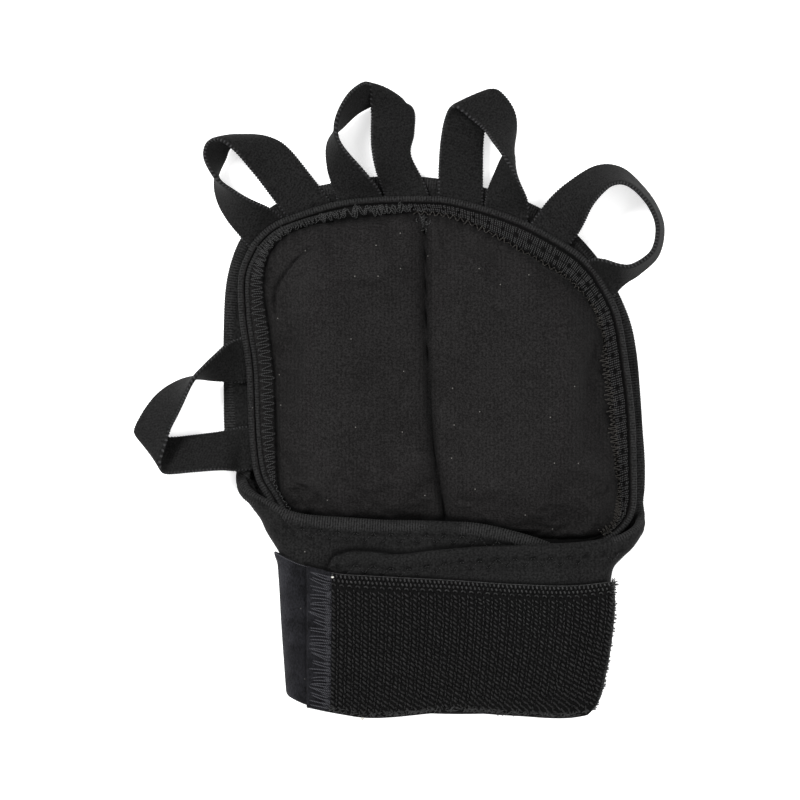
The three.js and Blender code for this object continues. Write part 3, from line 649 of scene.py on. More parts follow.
@dataclass(frozen=True)
class Finish:
    """A cloth finish: two colours mixed by its own pattern, and a relief of a real depth."""

    name: str
    dark: str
    light: str
    roughness: float
    grain: float
    relief: float
    sheen: float = 0.0
    gloss: float = 0.06
    darkest: float = 0.33
    lightest: float = 0.67

    def pattern(self, tree: Tree) -> tuple[Wire, Wire]:
        """Soft grain of the size given, for colour and for height.

        Args:
            tree: the material's node tree.

        Returns:
            Colour share and height, both from 0 to 1.
        """
        at = add(tree, "TexCoord").outputs["Object"]
        noise = add(tree, "TexNoise", {
            "Vector": at, "Scale": per_mm(self.grain), "Detail": 3.0, "Roughness": 0.6})
        return noise, noise

    def over(self, tree: Tree, colour: Socket) -> Socket:
        """Leave the colour as it is; a finish with lint, painted shade or a painted highlight on its rim
        adds it here.
        """
        return colour

    def build(self) -> bpy.types.Material:
        """Make the material.

        Returns:
            The material, with a Principled shader, a colour mix and a bump.
        """
        material = bpy.data.materials.new(self.name)
        material.use_nodes = True
        tree = material.node_tree
        shader = tree.nodes["Principled BSDF"]
        share, height = self.pattern(tree)
        ramp = add(tree, "MapRange", {"Value": share, "From Min": self.darkest, "From Max": self.lightest})
        mix = add(tree, "Mix", {SHARE: ramp, UNDER: linear(self.dark), OVER: linear(self.light)},
                  data_type="RGBA")
        tree.links.new(self.over(tree, mix.outputs[MIXED]), shader.inputs["Base Color"])
        bump = add(tree, "Bump", {"Height": height, "Distance": self.relief * MM, "Strength": 1.0})
        tree.links.new(bump.outputs["Normal"], shader.inputs["Normal"])
        shader.inputs["Roughness"].default_value = self.roughness
        shader.inputs["Specular IOR Level"].default_value = self.gloss
        if self.sheen:
            shader.inputs["Sheen Weight"].default_value = self.sheen
            shader.inputs["Sheen Roughness"].default_value = 0.5
        return material


@dataclass(frozen=True)
class KnitFace(Finish):
    """Nylon knit laminated on neoprene: fine upright wales, a speckled grain, a few lint specks,
    and painted shade, mixed in as far as U says, in creases and where other parts shade it."""

    wale: float = 1.1
    wale_share: float = 0.05
    cloud: float = 14.0
    cloud_share: float = 0.12
    # Colour of the painted shade in creases and under other parts.
    painted_shade_colour: str = "#020202"
    lint_colour: str = "#62605d"
    lint_size: float = 0.15
    lint_spacing: float = 7.0
    lint_share: float = 0.22

    def pattern(self, tree: Tree) -> tuple[Wire, Wire]:
        """Wales as a sine across X, bent by a slow noise, added to the grain and to slow clouds.

        Args:
            tree: the material's node tree.

        Returns:
            Colour share and height.
        """
        at = add(tree, "TexCoord").outputs["Object"]
        grain = add(tree, "TexNoise", {
            "Vector": at, "Scale": per_mm(self.grain), "Detail": 2.0, "Roughness": 0.7})
        cloud = add(tree, "TexNoise", {"Vector": at, "Scale": per_mm(self.cloud), "Detail": 2.0})
        wave = add(tree, "TexWave", {
            "Vector": at, "Scale": per_mm(self.wale) * TAU / WAVE_TURN, "Distortion": 0.8,
            "Detail": 1.0, "Detail Scale": 3.0}, bands_direction="X")
        wales = add(tree, "Math", {0: wave.outputs["Fac"], 1: self.wale_share, 2: grain},
                    operation="MULTIPLY_ADD")
        tone = add(tree, "Math", {0: cloud, 1: self.cloud_share, 2: -self.cloud_share},
                   operation="MULTIPLY_ADD")
        return add(tree, "Math", {0: wales, 1: tone}, operation="ADD"), wales

    def over(self, tree: Tree, colour: Socket) -> Socket:
        """Specks of lint where a cell's middle is near, in a share of the cells, then painted shade.

        Args:
            tree: the material's node tree.
            colour: the cloth's colour.

        Returns:
            The colour with its lint, and painted shade as far as U says.
        """
        at = add(tree, "TexCoord").outputs["Object"]
        cells = add(tree, "TexVoronoi", {"Vector": at, "Scale": per_mm(self.lint_spacing)},
                    voronoi_dimensions="2D")
        near = add(tree, "Math", {0: cells.outputs["Distance"], 1: self.lint_size / self.lint_spacing},
                   operation="LESS_THAN")
        parts = add(tree, "SeparateColor", {"Color": cells.outputs["Color"]})
        chosen = add(tree, "Math", {0: parts.outputs["Red"], 1: self.lint_share}, operation="LESS_THAN")
        both = add(tree, "Math", {0: near, 1: chosen}, operation="MULTIPLY")
        mix = add(tree, "Mix", {SHARE: both, UNDER: colour, OVER: linear(self.lint_colour)},
                  data_type="RGBA")
        # Painted shade: U holds its share, and the colour is mixed towards the shade colour by it.
        crease = add(tree, "SeparateXYZ", {"Vector": add(tree, "UVMap", uv_map=RUN)})
        deep = add(tree, "Math", {0: crease.outputs["X"], 1: 1 / MM}, operation="MULTIPLY")
        closed = add(tree, "Mix", {
            SHARE: deep, UNDER: mix.outputs[MIXED], OVER: linear(self.painted_shade_colour)}, data_type="RGBA")
        return closed.outputs[MIXED]


@dataclass(frozen=True)
class RibbedKnit(Finish):
    """Knit stretched over a rolled edge: a rib across the roll every 0.75 mm, with painted shade between
    ribs.
    """

    rib: float = 0.75
    rib_share: float = 0.12

    def pattern(self, tree: Tree) -> tuple[Wire, Wire]:
        """Sine of the length along the roll, added to a grain.

        Args:
            tree: the material's node tree.

        Returns:
            Colour share and height.
        """
        parts = add(tree, "SeparateXYZ", {"Vector": add(tree, "UVMap", uv_map=RUN)})
        at = add(tree, "TexCoord").outputs["Object"]
        grain = add(tree, "TexNoise", {
            "Vector": at, "Scale": per_mm(self.grain), "Detail": 2.0, "Roughness": 0.7})
        turn = add(tree, "Math", {0: parts.outputs["X"], 1: TAU * per_mm(self.rib), 2: grain},
                   operation="MULTIPLY_ADD")
        sine = add(tree, "Math", {0: turn}, operation="SINE")
        share = add(tree, "Math", {0: sine, 1: self.rib_share, 2: grain}, operation="MULTIPLY_ADD")
        return share, share


@dataclass(frozen=True)
class WovenElastic(Finish):
    """Woven elastic: a broken twill of short slanted floats, and pale teeth of painted highlight along its
    toothed selvage.
    """

    twill: float = 0.9
    cord: float = 1.3
    weave_share: float = 0.05
    rim: float = 5.7
    rim_blur: float = 0.4
    tooth: float = 1.05
    # Colour of the painted highlight along both edges.
    rim_highlight_colour: str = "#3b3b3c"

    def pattern(self, tree: Tree) -> tuple[Wire, Wire]:
        """Sine of U + V times a sine of V, both bent by the grain and added to it.

        Args:
            tree: the material's node tree.

        Returns:
            Colour share and height.
        """
        parts = add(tree, "SeparateXYZ", {"Vector": add(tree, "UVMap", uv_map=RUN)})
        at = add(tree, "TexCoord").outputs["Object"]
        grain = add(tree, "TexNoise", {
            "Vector": at, "Scale": per_mm(self.grain), "Detail": 2.0, "Roughness": 0.7})
        both = add(tree, "Math", {0: parts.outputs["X"], 1: parts.outputs["Y"]}, operation="ADD")
        waves = []
        for place, size in ((both, self.twill), (parts.outputs["Y"], self.cord)):
            turn = add(tree, "Math", {0: place, 1: TAU * per_mm(size), 2: grain},
                       operation="MULTIPLY_ADD")
            waves.append(add(tree, "Math", {0: turn}, operation="SINE"))
        weave = add(tree, "Math", {0: waves[0], 1: waves[1]}, operation="MULTIPLY")
        share = add(tree, "Math", {0: weave, 1: self.weave_share, 2: grain}, operation="MULTIPLY_ADD")
        return share, share

    def over(self, tree: Tree, colour: Socket) -> Socket:
        """Painted highlight: pale teeth along U where V is further out than the selvage's inner side.

        Args:
            tree: the material's node tree.
            colour: the weave's colour.

        Returns:
            The colour with the painted highlight on its rim.
        """
        parts = add(tree, "SeparateXYZ", {"Vector": add(tree, "UVMap", uv_map=RUN)})
        out = add(tree, "Math", {0: parts.outputs["Y"]}, operation="ABSOLUTE")
        share = add(tree, "MapRange", {
            "Value": out, "From Min": self.rim * MM, "From Max": (self.rim + self.rim_blur) * MM})
        turn = add(tree, "Math", {0: parts.outputs["X"], 1: TAU * per_mm(self.tooth)},
                   operation="MULTIPLY")
        sine = add(tree, "Math", {0: turn}, operation="SINE")
        tooth = add(tree, "MapRange", {"Value": sine, "From Min": -0.2, "To Max": 0.75})
        both = add(tree, "Math", {0: share, 1: tooth}, operation="MULTIPLY")
        mix = add(tree, "Mix", {SHARE: both, UNDER: colour, OVER: linear(self.rim_highlight_colour)},
                  data_type="RGBA")
        return mix.outputs[MIXED]


@dataclass(frozen=True)
class BrushedPile(KnitFace):
    """Brushed loop pile: a fuzzy grain drawn out along the tape's width, with lint caught in it."""

    cloud: float = 6.0
    cloud_share: float = 0.5
    stretch: float = 2.0

    def pattern(self, tree: Tree) -> tuple[Wire, Wire]:
        """Grain squeezed along Y, so that its specks are short upright hairs, and slow clouds.

        Args:
            tree: the material's node tree.

        Returns:
            Colour share and height.
        """
        at = add(tree, "TexCoord").outputs["Object"]
        drawn = add(tree, "Mapping", {"Vector": at, "Scale": (1.0, 1 / self.stretch, 1.0)})
        grain = add(tree, "TexNoise", {
            "Vector": drawn, "Scale": per_mm(self.grain), "Detail": 4.0, "Roughness": 0.75})
        cloud = add(tree, "TexNoise", {"Vector": at, "Scale": per_mm(self.cloud), "Detail": 2.0})
        tone = add(tree, "Math", {0: cloud, 1: self.cloud_share, 2: -self.cloud_share / 2},
                   operation="MULTIPLY_ADD")
        return add(tree, "Math", {0: tone, 1: grain}, operation="ADD"), grain


@dataclass(frozen=True)
class TwistedThread(Finish):
    """Spun polyester thread: a slanted twist that crosses the thread every half millimetre."""

    twist: float = 0.5

    def pattern(self, tree: Tree) -> tuple[Wire, Wire]:
        """Sine of the length along the thread plus the turn round it.

        Args:
            tree: the material's node tree.

        Returns:
            Colour share and height.
        """
        parts = add(tree, "SeparateXYZ", {"Vector": add(tree, "UVMap", uv_map=RUN)})
        along = add(tree, "Math", {0: parts.outputs["X"], 1: TAU * per_mm(self.twist)},
                    operation="MULTIPLY")
        turned = add(tree, "Math", {0: parts.outputs["Y"], 1: TAU / MM, 2: along},
                     operation="MULTIPLY_ADD")
        sine = add(tree, "Math", {0: turned}, operation="SINE")
        half = add(tree, "Math", {0: sine, 1: 0.5, 2: 0.5}, operation="MULTIPLY_ADD")
        return half, half


@dataclass(frozen=True)
class Palette:
    """The glove's finishes."""

    # Knit-faced neoprene: matt, speckled, with the faint upright lines of the knit.
    neoprene: Finish = KnitFace("neoprene_knit_face", "#0a0a0a", "#1f1f1f", 0.8, 0.55, 0.10, 0.01)
    # Pad cover: the same knit, a little paler and browner, where lint shows most.
    cover: Finish = KnitFace("pad_cover_knit", "#0c0b0b", "#222121", 0.8, 0.5, 0.10, 0.014)
    # Hem and binding: knit stretched round an edge; its ribs catch the light, and painted shade darkens the
    # colour between them.
    binding: Finish = RibbedKnit("rolled_knit_binding", "#0a0a0a", "#272727", 0.75, 0.5, 0.10, 0.015)
    # Woven elastic: even and dense, drawn a little coarser than its real 0.5 mm picks.
    elastic: Finish = WovenElastic("woven_elastic", "#060606", "#1c1c1c", 0.8, 0.5, 0.12, 0.01)
    # Plush loop tape: soft bluish black that lightens at grazing angles.
    plush: Finish = BrushedPile("brushed_loop_pile", "#0c0c0e", "#2b2b2f", 0.95, 0.4, 0.25, 0.015)
    # Nylon hook tape's ground: deep black between the hooks.
    ground: Finish = Finish("hook_tape_ground", "#070707", "#111111", 0.9, 0.5, 0.08, 0.0, 0.03)
    # Nylon hooks: drawn nylon with a soft gloss along each stroke.
    hooks: Finish = Finish("nylon_hooks", "#0d0d0d", "#303030", 0.5, 0.6, 0.04, 0.0, 0.08)
    # Selvedge stitches: the same nylon, a little paler where it is drawn tight.
    selvedge: Finish = Finish("drawn_nylon_selvedge", "#181818", "#3a3a3a", 0.5, 0.6, 0.04)
    # Sewing thread: black, and paler than the knit round it.
    thread: Finish = TwistedThread("polyester_thread", "#111111", "#3a3a3a", 0.6, 0.5, 0.05)
    # Thread pressed into the neoprene at the flaps, as dark as the knit round it.
    sunk_thread: Finish = TwistedThread("sunk_polyester_thread", "#0c0c0c", "#2a2a2a", 0.7, 0.5, 0.05)
    # Fine bluish thread of the join, with the pile's own tint.
    join_thread: Finish = TwistedThread("bluish_polyester_thread", "#151517", "#434347", 0.6, 0.5, 0.05)
    # Thread rubbed pale and brownish at the pad's right edge.
    worn_thread: Finish = TwistedThread("rubbed_thread", "#191817", "#3f3d3a", 0.65, 0.5, 0.05)
    # Cut thread ends: undyed cores, nearly white.
    thread_end: Finish = Finish("cut_thread_end", "#a8a6a0", "#d8d6d0", 0.7, 0.5, 0.02)

    def made(self) -> Materials:
        """Build every finish once, into materials by the names of the finishes."""
        return {name: finish.build() for name, finish in vars(self).items()}


@dataclass
class Part:
    """Sub-assembly of the glove, whose class names one slot of the record."""

    materials: Materials
    slot: ClassVar[Slot]

    def piece(self, name: str, data: MeshData, finish: str) -> Piece:
        """Make a mesh object that rides on the part.

        Args:
            name: name of the piece.
            data: its mesh in millimetres.
            finish: name of its finish in the palette.

        Returns:
            The object, at the origin.
        """
        mesh = bpy.data.meshes.new(name)
        faces = data.quads.tolist() + data.others
        mesh.from_pydata((data.points * MM).tolist(), [], faces)
        if data.uv is not None:
            corners = np.empty(len(mesh.loops), np.int32)
            mesh.loops.foreach_get("vertex_index", corners)
            layer = mesh.uv_layers.new(name=RUN)
            layer.data.foreach_set("uv", (data.uv[corners] * MM).astype(np.float32).ravel())
        mesh.shade_smooth()
        mesh.materials.append(self.materials[finish])
        mesh.update()
        piece = bpy.data.objects.new(name, mesh)
        bpy.context.scene.collection.objects.link(piece)
        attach(piece, "root")
        log.info("%s: %d faces", name, len(faces))
        return piece


# Outer edge of the pad, once round from the lower left, with as many points on each side.
PAD_SIDE_POINTS = 140
PAD_EDGE = np.vstack([outline(side, np.linspace(0, 1, PAD_SIDE_POINTS))[::way][:-1] for side, way in (
    (PAD_LEFT, 1), (PAD_TOP, 1), (PAD_RIGHT, -1), (PAD_BOTTOM, -1))])


def lift(y: Array) -> Array:
    """Height of the shell's underside over the floor, which rises onto the strap."""
    return STRAP_LIFT * rise(LIFT_ABOVE, LIFT_BELOW, y)


@dataclass
class Wrist:
    """Wrist of the shell as one sheet: inner flap, left fold, back, right fold, outer flap."""

    columns: Sequence[int] = (196, 28, 36, 28, 196)
    rows: int = 92
    inner_end: float = 0.9999
    outer_start: float = 4.0001
    round_edge: float = 1.1
    wave_height: float = 0.12
    wave_size: float = 13.0
    pitch: float = 5.0
    swing: float = 2.5
    inner_row: float = 5.1
    outer_row: float = 5.0
    inner_fade: tuple[float, float] = (-37, -34)
    outer_fade: tuple[float, float] = (66, 63)
    hem: float = 4.3
    hem_groove: float = 0.35
    hem_groove_width: float = 0.35
    trough: float = 0.26
    trough_width: float = 0.55
    pit: float = 0.5
    pit_width: float = 0.65
    puff: float = 0.14

    def fold(self, table: Columns, side: int, y: Array) -> tuple[Array, Array, Array, Array]:
        """Round fold at a height y: a half circle between the back and the flap.

        Args:
            table: the fold's table.
            side: -1 on the left, 1 on the right.
            y: heights.

        Returns:
            X of the fold's middle, its Z, its radius and the flap's mid height.
        """
        back = lift(y) + NEOPRENE / 2
        flap = read(table, "y", "flap", y)
        radius = (flap - back) / 2
        x = read(table, "y", "edge", y) - side * (radius + NEOPRENE / 2)
        return x, back + radius, radius, flap

    def inner_flap_z(self, x: Array, y: Array) -> Array:
        """Mid height of the inner flap, which rises over its first stretch from the fold."""
        fold_x, _, _, flap = self.fold(LEFT_FOLD, -1, y)
        return flap + (INNER_FLAP_Z - flap) * rise(0, INNER_RISE, x - fold_x)

    def outer_flap_z(self, x: Array, y: Array) -> Array:
        """Mid height of the outer flap, which rises between two values of X."""
        flap = self.fold(RIGHT_FOLD, 1, y)[3]
        return flap + (OUTER_FLAP_Z - flap) * rise(OUTER_RISE_FROM, OUTER_RISE_TO, x)

    def section(self, u: Array, y: Array) -> tuple[Array, Array]:
        """Mid surface: flaps and back run straight in X, folds turn by half a circle.

        Args:
            u: stage from 0 to 5, with the share of the stage behind the point.
            y: heights.

        Returns:
            X and Z.
        """
        stage, share = staged(u, len(self.columns))
        lx, lz, lr, _ = self.fold(LEFT_FOLD, -1, y)
        rx, rz, rr, _ = self.fold(RIGHT_FOLD, 1, y)
        inner_x = lx + (read(INNER_FLAP_TIP, "y", "x", y) - lx) * (1 - share)
        outer_x = rx + (read(OUTER_FLAP_TIP, "y", "x", y) - rx) * share
        left = math.pi * (1 - share)
        right = math.pi * share
        x = np.choose(stage, [
            inner_x, lx - lr * np.sin(left), lx + (rx - lx) * share, rx + rr * np.sin(right), outer_x])
        z = np.choose(stage, [
            self.inner_flap_z(inner_x, y), lz - lr * np.cos(left), lift(y) + NEOPRENE / 2,
            rz - rr * np.cos(right), self.outer_flap_z(outer_x, y)])
        return x, z

    def settled(self, u: Array, table: Columns) -> Array:
        """Y where each station meets a flap's upper edge, found by halving the distance.

        Args:
            u: stations on a flap.
            table: the edge's table.

        Returns:
            Y of each station's upper end.
        """
        y = np.full(u.shape, FLAP_TOP_GUESS)
        for _ in range(14):
            y = (y + read(table, "x", "y", self.section(u, y)[0])) / 2
        return y

    def top(self, u: Array) -> Array:
        """Y of the sheet's upper end at each station.

        Args:
            u: stations.

        Returns:
            Y, from the flaps' edges and straight between them and the back.
        """
        stage, share = staged(u, len(self.columns))
        left_top = self.settled(np.array([self.inner_end]), INNER_FLAP_TOP)[0]
        right_top = self.settled(np.array([self.outer_start]), OUTER_FLAP_TOP)[0]
        return np.choose(stage, [
            self.settled(np.minimum(u, self.inner_end), INNER_FLAP_TOP),
            left_top + (BACK_TOP_LEFT - left_top) * share,
            BACK_TOP_LEFT + (BACK_TOP_RIGHT - BACK_TOP_LEFT) * share,
            BACK_TOP_RIGHT + (right_top - BACK_TOP_RIGHT) * share,
            self.settled(np.maximum(u, self.outer_start), OUTER_FLAP_TOP)])

    def pressed(self, x: Array, below: Array, row: float) -> Array:
        """Relief of a sewn hem: a groove behind the roll, then a trough along a triangle wave
        with a round pit at each of its corners, each as a bell of the distance to it.

        Args:
            x: places along the edge.
            below: distance below the edge.
            row: distance of the wave's middle below the edge.

        Returns:
            Height of the relief, mostly negative.
        """
        turn = x / self.pitch
        wave = row + self.swing * zigzag(turn)
        trough = -self.trough * bell(below - wave, self.trough_width)
        near = np.abs((2 * turn + 0.5) % 1 - 0.5) * self.pitch / 2
        corner = np.where(np.abs(turn % 1 - 0.5) < 0.25, row - self.swing / 2, row + self.swing / 2)
        pit = -self.pit * np.exp(-(near**2 + (below - corner) ** 2) / self.pit_width**2)
        groove = -self.hem_groove * bell(below - self.hem, self.hem_groove_width)
        puff = self.puff * rise(1.2, 0.4, np.abs(below - wave)) - self.puff
        return trough + pit + groove + puff * rise(self.hem, self.hem + 0.5, below) * rise(9, 7, below)

    def mesh(self) -> MeshData:
        """Sheet of even thickness round the mid surface, with round edges, sewn hems and slow
        waves on its flaps.

        Returns:
            The mesh.
        """
        u = stations(self.columns)
        top = self.top(u)
        bottom = read(WRIST_BOTTOM, "x", "y", self.section(u, np.full(u.shape, WRIST_BOTTOM_GUESS))[0])
        height = (top - bottom)[:, None]
        grid_u, grid_v = np.meshgrid(u, spread(self.rows, 0.06), indexing="ij")
        y = bottom[:, None] + height * grid_v
        x, z = self.section(grid_u, y)
        mid = np.stack([x, y, z], -1)
        normal = facing(mid)
        run = lengths(mid[:, 0])[:, None]
        rim = np.minimum(grid_v, 1 - grid_v) * height
        rim = np.minimum(rim, np.minimum(run, run[-1] - run) + 0.05)
        inside = 1 - np.clip(rim / self.round_edge, 0.02, 1)
        half = NEOPRENE / 2 * np.sqrt(np.clip(1 - inside**2, 0.04, 1))
        on_inner = grid_u < 1
        on_outer = grid_u > len(self.columns) - 1
        wave = self.wave_height * ripple(y.shape, x, y * 1.6, self.wave_size, SEED) * rise(0, 3, rim)
        mid[..., 2] += wave * (on_inner | on_outer)
        below = top[:, None] - y
        sewn = on_inner * self.pressed(x, below, self.inner_row) * rise(*self.inner_fade, x)
        sewn = sewn + on_outer * self.pressed(x, below, self.outer_row) * rise(*self.outer_fade, x)
        return slab(mid + normal * half[..., None], mid - normal * (half + sewn)[..., None])


@dataclass
class Shell(Part):
    """Neoprene shell: the flat hand panel, the wrist sheet and the rolled hem round both."""

    slot: ClassVar[Slot] = Slot.NEOPRENE
    wrist: Wrist
    hem: Roll = Roll(half_width=2.0, half_height=1.38, rib=0.75, depth=0.055)
    hem_inset: float = 1.95
    tip_ribs: float = 0.012
    tip_from: float = 60.0
    inner_run: tuple[float, float] = (0.01, 1.86)
    outer_run: tuple[float, float] = (3.14, 4.985)
    off_table: float = 0.05

    def panel(self) -> MeshData:
        """Flat panel: its outline as rings that step in and up round a half circle edge.

        Returns:
            The mesh.
        """
        edge = outline(PANEL_EDGE, np.linspace(0, 1, 420))
        edge = np.vstack([edge, np.stack([PANEL_LOWER["x"], PANEL_LOWER["y"]], 1)])
        inward = to_right(unit(np.roll(edge, -1, 0) - np.roll(edge, 1, 0)))
        angle = np.linspace(-math.pi / 2, math.pi / 2, 7)
        inset = (1 - np.cos(angle)) * NEOPRENE / 2
        ring = edge[None] + inward[None] * inset[:, None, None]
        z = np.maximum(NEOPRENE / 2 * (1 + np.sin(angle)), self.off_table)
        rings = np.concatenate([ring, np.broadcast_to(z[:, None, None], (*ring.shape[:2], 1))], 2)
        return carried(rings)

    def hem_path(self) -> tuple[Array, Array]:
        """Path of the hem: inner flap's edge, left fold, hand panel, right fold, outer flap's edge.

        Returns:
            Points in even steps, and the directions into the cloth.
        """
        runs = []
        for ends in (self.inner_run, self.outer_run):
            u = np.linspace(*ends, 260)
            y = self.wrist.top(u) - self.hem_inset
            x, z = self.wrist.section(u, y)
            runs.append(np.stack([x, y, z, 0 * x, 0 * x - 1, 0 * x], 1))
        edge = outline(PANEL_EDGE, np.linspace(0.02, 0.98, 500))
        inward = to_right(unit(np.gradient(edge, axis=0)))
        flat = np.zeros((len(edge), 1))
        panel = np.hstack([edge + inward * self.hem_inset, flat + NEOPRENE / 2, inward, flat])
        rows = smooth(even(np.vstack([runs[0], panel, runs[1]]), 0.8)[0], 6)
        return rows[:, :3], unit(rows[:, 3:])

    def painted_shade_shares(self, points: Array) -> Array:
        """Share of painted shade: next to the pad, in the sewn troughs of the two flaps, on
        the inner flap along the outer one's edge, and along the hook tape's upper edge.

        Args:
            points: the shell's points.

        Returns:
            Shares.
        """
        x, y, z = points.T
        pad = Pad.distance(PAD_EDGE[::3], x, y)
        flap = y - read(OUTER_FLAP_TOP, "x", "y", x)
        tape = y - read(HOOK_RUN, "x", "top", x)
        share = 0.9 * rise(3.2, 0.4, pad) * (y > -30) * (z > NEOPRENE / 2)
        for top, row, start, bare in ((INNER_FLAP_TOP, self.wrist.inner_row, -36, flap > 0),
                                      (OUTER_FLAP_TOP, self.wrist.outer_row, -18, True)):
            below = read(top, "x", "y", x) - y
            shown = (x > start) & (below > 2.5) & (below < 9) & (z > 6) & bare
            share = share + shown * (-0.9 * self.wrist.pressed(x, below, row)).clip(0, 0.75)
        share = share + 0.85 * rise(2.2, 0.2, flap) * (flap > -0.15) * rise(-23, -19, x)
        return share + 0.8 * rise(1.3, 0.1, np.abs(tape)) * (x > -27)

    def build(self) -> list[Piece]:
        """Make the shell and its hem, which is ribbed up to the outer flap's tip.

        Returns:
            The pieces.
        """
        body = joined([self.panel(), self.wrist.mesh()])
        # The shell's knit colour darkens with painted shade where these shares say.
        with_painted_shade(body, self.painted_shade_shares(body.points))
        shell = self.piece("shell_neoprene", body, "neoprene")
        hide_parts("neoprene_shell")
        path, inward = self.hem_path()
        size = 1 - 0.45 * rise(0.988, 1, np.linspace(0, 1, len(path))) ** 2
        late = np.arange(len(path)) > 0.7 * len(path)
        turn = int(np.argmax((path[:, 0] < self.tip_from) & late))
        ribbed = self.hem.mesh(path[:turn + 2], inward[:turn + 2], size[:turn + 2])
        ribbed.points[:, 2] = np.maximum(ribbed.points[:, 2], 0)
        plain = replace(self.hem, depth=self.tip_ribs).mesh(path[turn:], inward[turn:], size[turn:])
        plain.uv = None
        return [shell, self.piece("shell_hem", ribbed, "binding"),
                self.piece("outer_flap_hem", plain, "neoprene")]


@dataclass
class FlapStitches(Part):
    """Three-step zigzag rows that hold the flaps' hems, half sunk in their troughs."""

    slot: ClassVar[Slot] = Slot.NEOPRENE
    wrist: Wrist
    thread: float = 0.17
    error: float = 0.06
    sunk: float = 0.02

    def row(self, table: Columns, below: float, start: float, end: float,
            height: Callable[[Array, Array], Array], seed: int) -> Array:
        """One row: the triangle wave of the trough, cut into three stitches a leg.

        Args:
            table: the flap's upper edge.
            below: distance of the row from the edge.
            start: X where the row starts.
            end: X where it ends.
            height: mid height of the flap at x and y.
            seed: number that fixes the small errors.

        Returns:
            Paths of the stitches, (stitches, points, 3).
        """
        rng = np.random.default_rng(seed)
        step = self.wrist.pitch / 6
        nodes = np.arange(math.ceil(start / step), math.floor(end / step))
        x = nodes * step + rng.normal(0, self.error, nodes.shape)
        depth = below + self.wrist.swing * zigzag(nodes / 6) + rng.normal(0, self.error, nodes.shape)
        y = read(table, "x", "y", x) - depth
        z = height(x, y) + NEOPRENE / 2 + self.wrist.pressed(x, depth, below) - self.sunk
        knots = np.stack([x, y, z], 1)
        t = np.linspace(0.06, 0.94, 6)[None, :, None]
        path = between(knots[:-1, None], knots[1:, None], t)
        path[..., 2] += self.thread * np.sin(math.pi * t[..., 0])
        return path

    def build(self) -> Piece:
        """Make both rows as one piece.

        Returns:
            The piece.
        """
        wrist = self.wrist
        outer = self.row(OUTER_FLAP_TOP, wrist.outer_row, -15.0, 63.0, wrist.outer_flap_z, SEED + 1)
        inner = self.row(INNER_FLAP_TOP, wrist.inner_row, -34.0, 40.0, wrist.inner_flap_z, SEED + 2)
        mesh = threads(np.concatenate([outer, inner]), self.thread)
        return self.piece("flap_stitches", mesh, "sunk_thread")


@dataclass(frozen=True)
class Swelling:
    """Cloth simulation of the pad's cover: its coarse grid, its cloth and how far it may move."""

    columns: int = 62
    rows: int = 54
    frames: int = 20
    pressure: float = 4.0
    shrink: float = -0.035
    tension: float = 12.0
    bending: float = 0.4
    quality: int = 6
    cap: float = 1.6

    def moves(self, upper: Array, held: Array) -> Array:
        """Swell the cover as cloth under pressure, without gravity.

        Args:
            upper: coarse grid of the cover's points in millimetres.
            held: the points that stay in place.

        Returns:
            Moves of the points in millimetres, none longer than the cap.
        """
        mesh = bpy.data.meshes.new("swelling")
        mesh.from_pydata((upper.reshape(-1, 3) * MM).tolist(), [],
                         grid_quads(self.columns, self.rows, False)[:, ::-1].tolist())
        cover = bpy.data.objects.new("swelling", mesh)
        scene = bpy.context.scene
        scene.collection.objects.link(cover)
        group = cover.vertex_groups.new(name="held")
        group.add(np.flatnonzero(held.ravel()).tolist(), 1.0, "REPLACE")
        cloth = cover.modifiers.new("cloth", "CLOTH")
        cloth.settings.vertex_group_mass = "held"
        cloth.settings.use_pressure = True
        cloth.settings.uniform_pressure_force = self.pressure
        cloth.settings.shrink_min = self.shrink
        cloth.settings.tension_stiffness = self.tension
        cloth.settings.bending_stiffness = self.bending
        cloth.settings.quality = self.quality
        cloth.settings.effector_weights.gravity = 0.0
        cloth.point_cache.frame_start = 1
        cloth.point_cache.frame_end = self.frames
        for number in range(1, self.frames + 1):
            scene.frame_set(number)
        shaped = cover.evaluated_get(bpy.context.evaluated_depsgraph_get())
        points = np.empty(upper.size, np.float32)
        shaped.data.vertices.foreach_get("co", points)
        moves = points.reshape(upper.shape) / MM - upper
        scene.frame_set(1)
        bpy.data.objects.remove(cover)
        bpy.data.meshes.remove(mesh)
        length = np.linalg.norm(moves, axis=-1, keepdims=True)
        log.info("pad cover swells by up to %.2f mm", float(length.max()))
        return moves * np.minimum(1, self.cap / np.maximum(length, 1e-9))

    def refined(self, moves: Array, columns: int, rows: int) -> Array:
        """Read the moves at a finer grid, straight between the coarse one's points.

        Args:
            moves: moves of the coarse grid.
            columns: points of the finer grid one way.
            rows: points of it the other way.

        Returns:
            Moves of the finer grid.
        """
        a, b = np.meshgrid(np.linspace(0, self.columns - 1, columns), np.linspace(0, self.rows - 1, rows),
                           indexing="ij")
        i = np.minimum(a.astype(int), self.columns - 2)
        j = np.minimum(b.astype(int), self.rows - 2)
        s = (a - i)[..., None]
        below = between(moves[i, j], moves[i + 1, j], s)
        above = between(moves[i, j + 1], moves[i + 1, j + 1], s)
        return between(below, above, (b - j)[..., None])


@dataclass(frozen=True)
class Row:
    """Row of stitches along the pad's open edge: where it starts and ends as shares of the edge's
    length, the length of one turn, and the seed that fixes its small errors."""

    start: float
    end: float
    pitch: float
    seed: int


